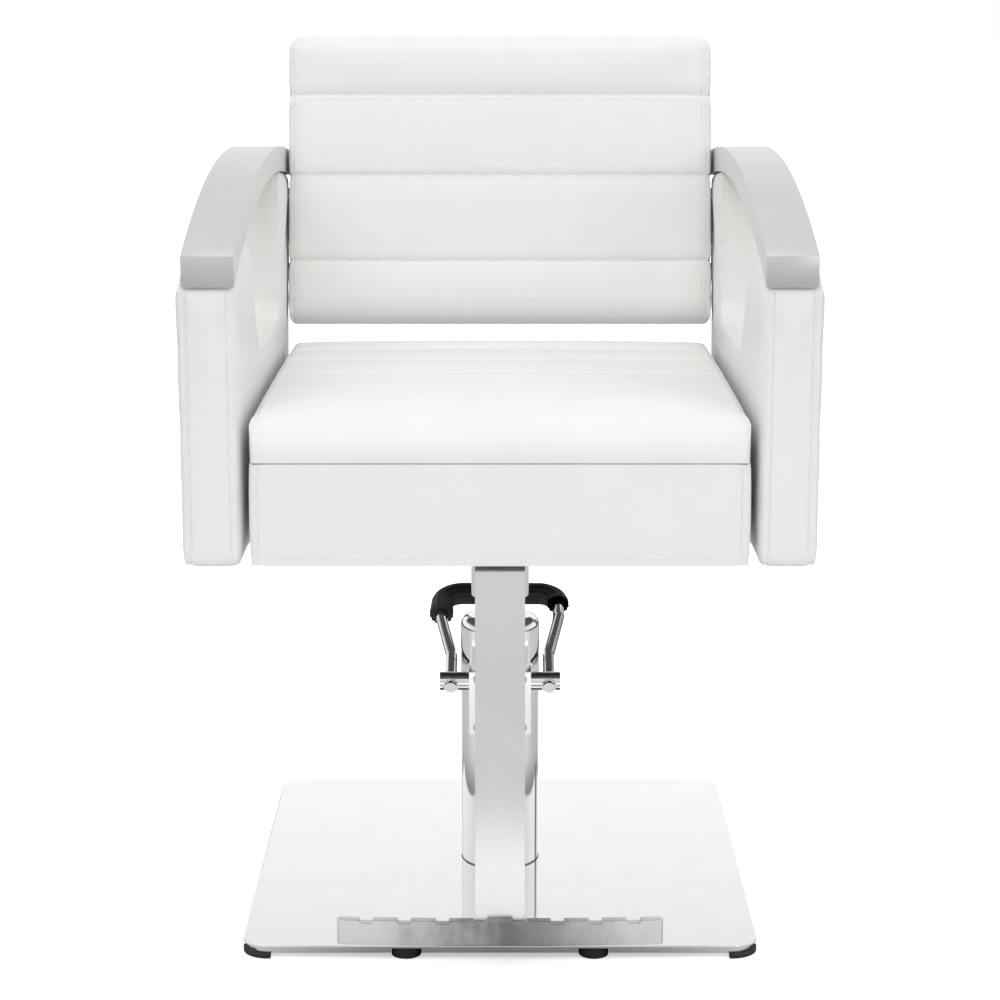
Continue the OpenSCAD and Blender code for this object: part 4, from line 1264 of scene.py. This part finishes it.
for node in ("left_arm_cap", "right_arm_cap"):
    deburred(node, 0.9 * MM, "chair", "satin_aluminium")
deburred("base_cover", 0.7 * MM, "base", "polished_steel")
deburred("footrest_stem", 0.9 * MM, "chair", "brushed_steel")
deburred("foot_bar", 0.8 * MM, "chair", "brushed_steel")
deburred("pump_head", 1.0 * MM, "base", "chrome")
deburred("pump_front_cover", 0.6 * MM, "base", "chrome")
deburred("cross_shaft", 0.5 * MM, "pedal", "chrome")
deburred("swivel_collar", 0.8 * MM, "chair", "chrome")
deburred("round_feet", 0.8 * MM, "base", "black_rubber")

# %% [markdown]
# ### Sleeve joint of the column
# The column passes through the base cover. A thin black ring paints the shadow in the joint at the plate:
# one ring of faces round the tube, a little proud of it.

# %% Joint ring, a painted shadow
JOINT_TALL = 1.3 * MM
JOINT_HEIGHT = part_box("base_cover")[1].z + JOINT_TALL / 2 + 0.05 * MM
tube_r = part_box("pump_tube")[1].x
let_go()
bpy.ops.mesh.primitive_cylinder_add(vertices=96, radius=tube_r + 0.15 * MM, depth=JOINT_TALL,
                                    location=(0, 0, JOINT_HEIGHT))
ring = bpy.context.object
ring.name = "sleeve_joint_shadow_ring"
settle(ring)
select_where(ring, "FACE", lambda middle, normal: abs(normal.z) > 0.9)
bpy.ops.mesh.inset(thickness=1.5 * MM)
bpy.ops.mesh.bridge_edge_loops()
bpy.ops.object.mode_set(mode="OBJECT")
apply_modifier(ring, "BEVEL", width=0.08 * MM, segments=1, limit_method="ANGLE")
soften(ring, 35)
# painted shadow: the black ring darkens the joint where the gap lies in shade
wear(ring, finishes["black_rubber"])
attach(ring, "base")
print("joint ring at", JOINT_HEIGHT)

# %% [markdown]
# ### Pedal grip
# The grip is a rubber tube moulded over the bent rod, with ribs along it for the shoe. Its section is a
# circle whose points stand out in turn. The section is drawn down a leg, spun round the corner, drawn
# across, and spun and drawn again, and each mouth is flared and turned in round the rod.

# %% Grip swept along the pedal
PEDAL_SLOPE = math.radians(17.6)
PEDAL_PLACE = Vector((0.0, -48.0, 240.8)) * MM
GRIP_R = 12.2 * MM
RIB = 0.9 * MM
RIBS = 14
GRIP_HALF = 69.0 * MM
GRIP_REACH = 187.0 * MM
GRIP_CORNER = 25.0 * MM
GRIP_LEG = 46.0 * MM
BORE = 7.0 * MM
LIP = 1.2 * MM


def draw(x=0.0, y=0.0):
    """Extrudes the picked ring along a straight stretch."""
    bpy.ops.mesh.extrude_region_move(TRANSFORM_OT_translate={"value": (x, y, 0.0)})


def swell(factor, x, y):
    bpy.ops.transform.resize(value=(factor, factor, factor), center_override=(x, y, 0.0))


let_go()
mouth = GRIP_REACH - GRIP_LEG
bpy.ops.mesh.primitive_circle_add(vertices=RIBS * 4, radius=GRIP_R, fill_type="NOTHING",
                                  location=(GRIP_HALF, mouth, 0), rotation=(math.pi / 2, 0, 0))
grip = bpy.context.object
grip.name = "ribbed_grip"
settle(grip)
spots = spots_of(grip)
middle = np.array([GRIP_HALF, mouth, 0.0])
out = np.where(np.arange(len(spots)) % 4 < 2, RIB, 0.0)
put_spots(grip, middle + (spots - middle) * (1 + out / GRIP_R)[:, None])
pick(grip)
bpy.ops.object.mode_set(mode="EDIT")
bpy.ops.mesh.select_all(action="SELECT")
flare = 1 + LIP / GRIP_R
swell(flare, GRIP_HALF, mouth)
draw(y=2.5 * MM)
draw(y=1.5 * MM)
swell(1 / flare, GRIP_HALF, mouth + 4 * MM)
draw(y=GRIP_LEG - GRIP_CORNER - 4 * MM)
CORNER_X, CORNER_Y = GRIP_HALF - GRIP_CORNER, GRIP_REACH - GRIP_CORNER
bpy.ops.mesh.spin(steps=8, angle=math.pi / 2, center=(CORNER_X, CORNER_Y, 0), axis=(0, 0, -1))
draw(x=-2 * CORNER_X)
bpy.ops.mesh.spin(steps=8, angle=math.pi / 2, center=(-CORNER_X, CORNER_Y, 0), axis=(0, 0, -1))
draw(y=-(GRIP_LEG - GRIP_CORNER - 4 * MM))
swell(flare, -GRIP_HALF, mouth + 4 * MM)
draw(y=-1.5 * MM)
draw(y=-2.5 * MM)
bpy.ops.mesh.remove_doubles(threshold=0.01 * MM)
bpy.ops.object.mode_set(mode="OBJECT")
print("grip drawn", [round(float(v), 4) for v in spots_of(grip).max(axis=0)])

# %% Grip mouths
for side in (-1, 1):
    select_where(grip, "EDGE", lambda a, b: max(a.y, b.y) < mouth + 0.01 * MM and a.x * side > 0)
    bpy.ops.mesh.extrude_region_move()
    swell(BORE / (GRIP_R + LIP), side * GRIP_HALF, mouth)
    draw(y=8.0 * MM)
    bpy.ops.mesh.edge_face_add()
    bpy.ops.object.mode_set(mode="OBJECT")
pick(grip)
bpy.ops.object.mode_set(mode="EDIT")
bpy.ops.mesh.select_all(action="SELECT")
bpy.ops.mesh.normals_make_consistent(inside=False)
bpy.ops.object.mode_set(mode="OBJECT")
grip.location = PEDAL_PLACE
grip.rotation_euler = (PEDAL_SLOPE, 0, 0)
settle(grip)
soften(grip, 50)
wear(grip, finishes["black_rubber"])
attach(grip, "pedal")
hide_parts("pedal_grip")
print("grip", len(grip.data.polygons), "faces, box", [round(v, 4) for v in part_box("pedal_grip")[1]],
      [round(float(v), 4) for v in spots_of(grip).max(axis=0)])
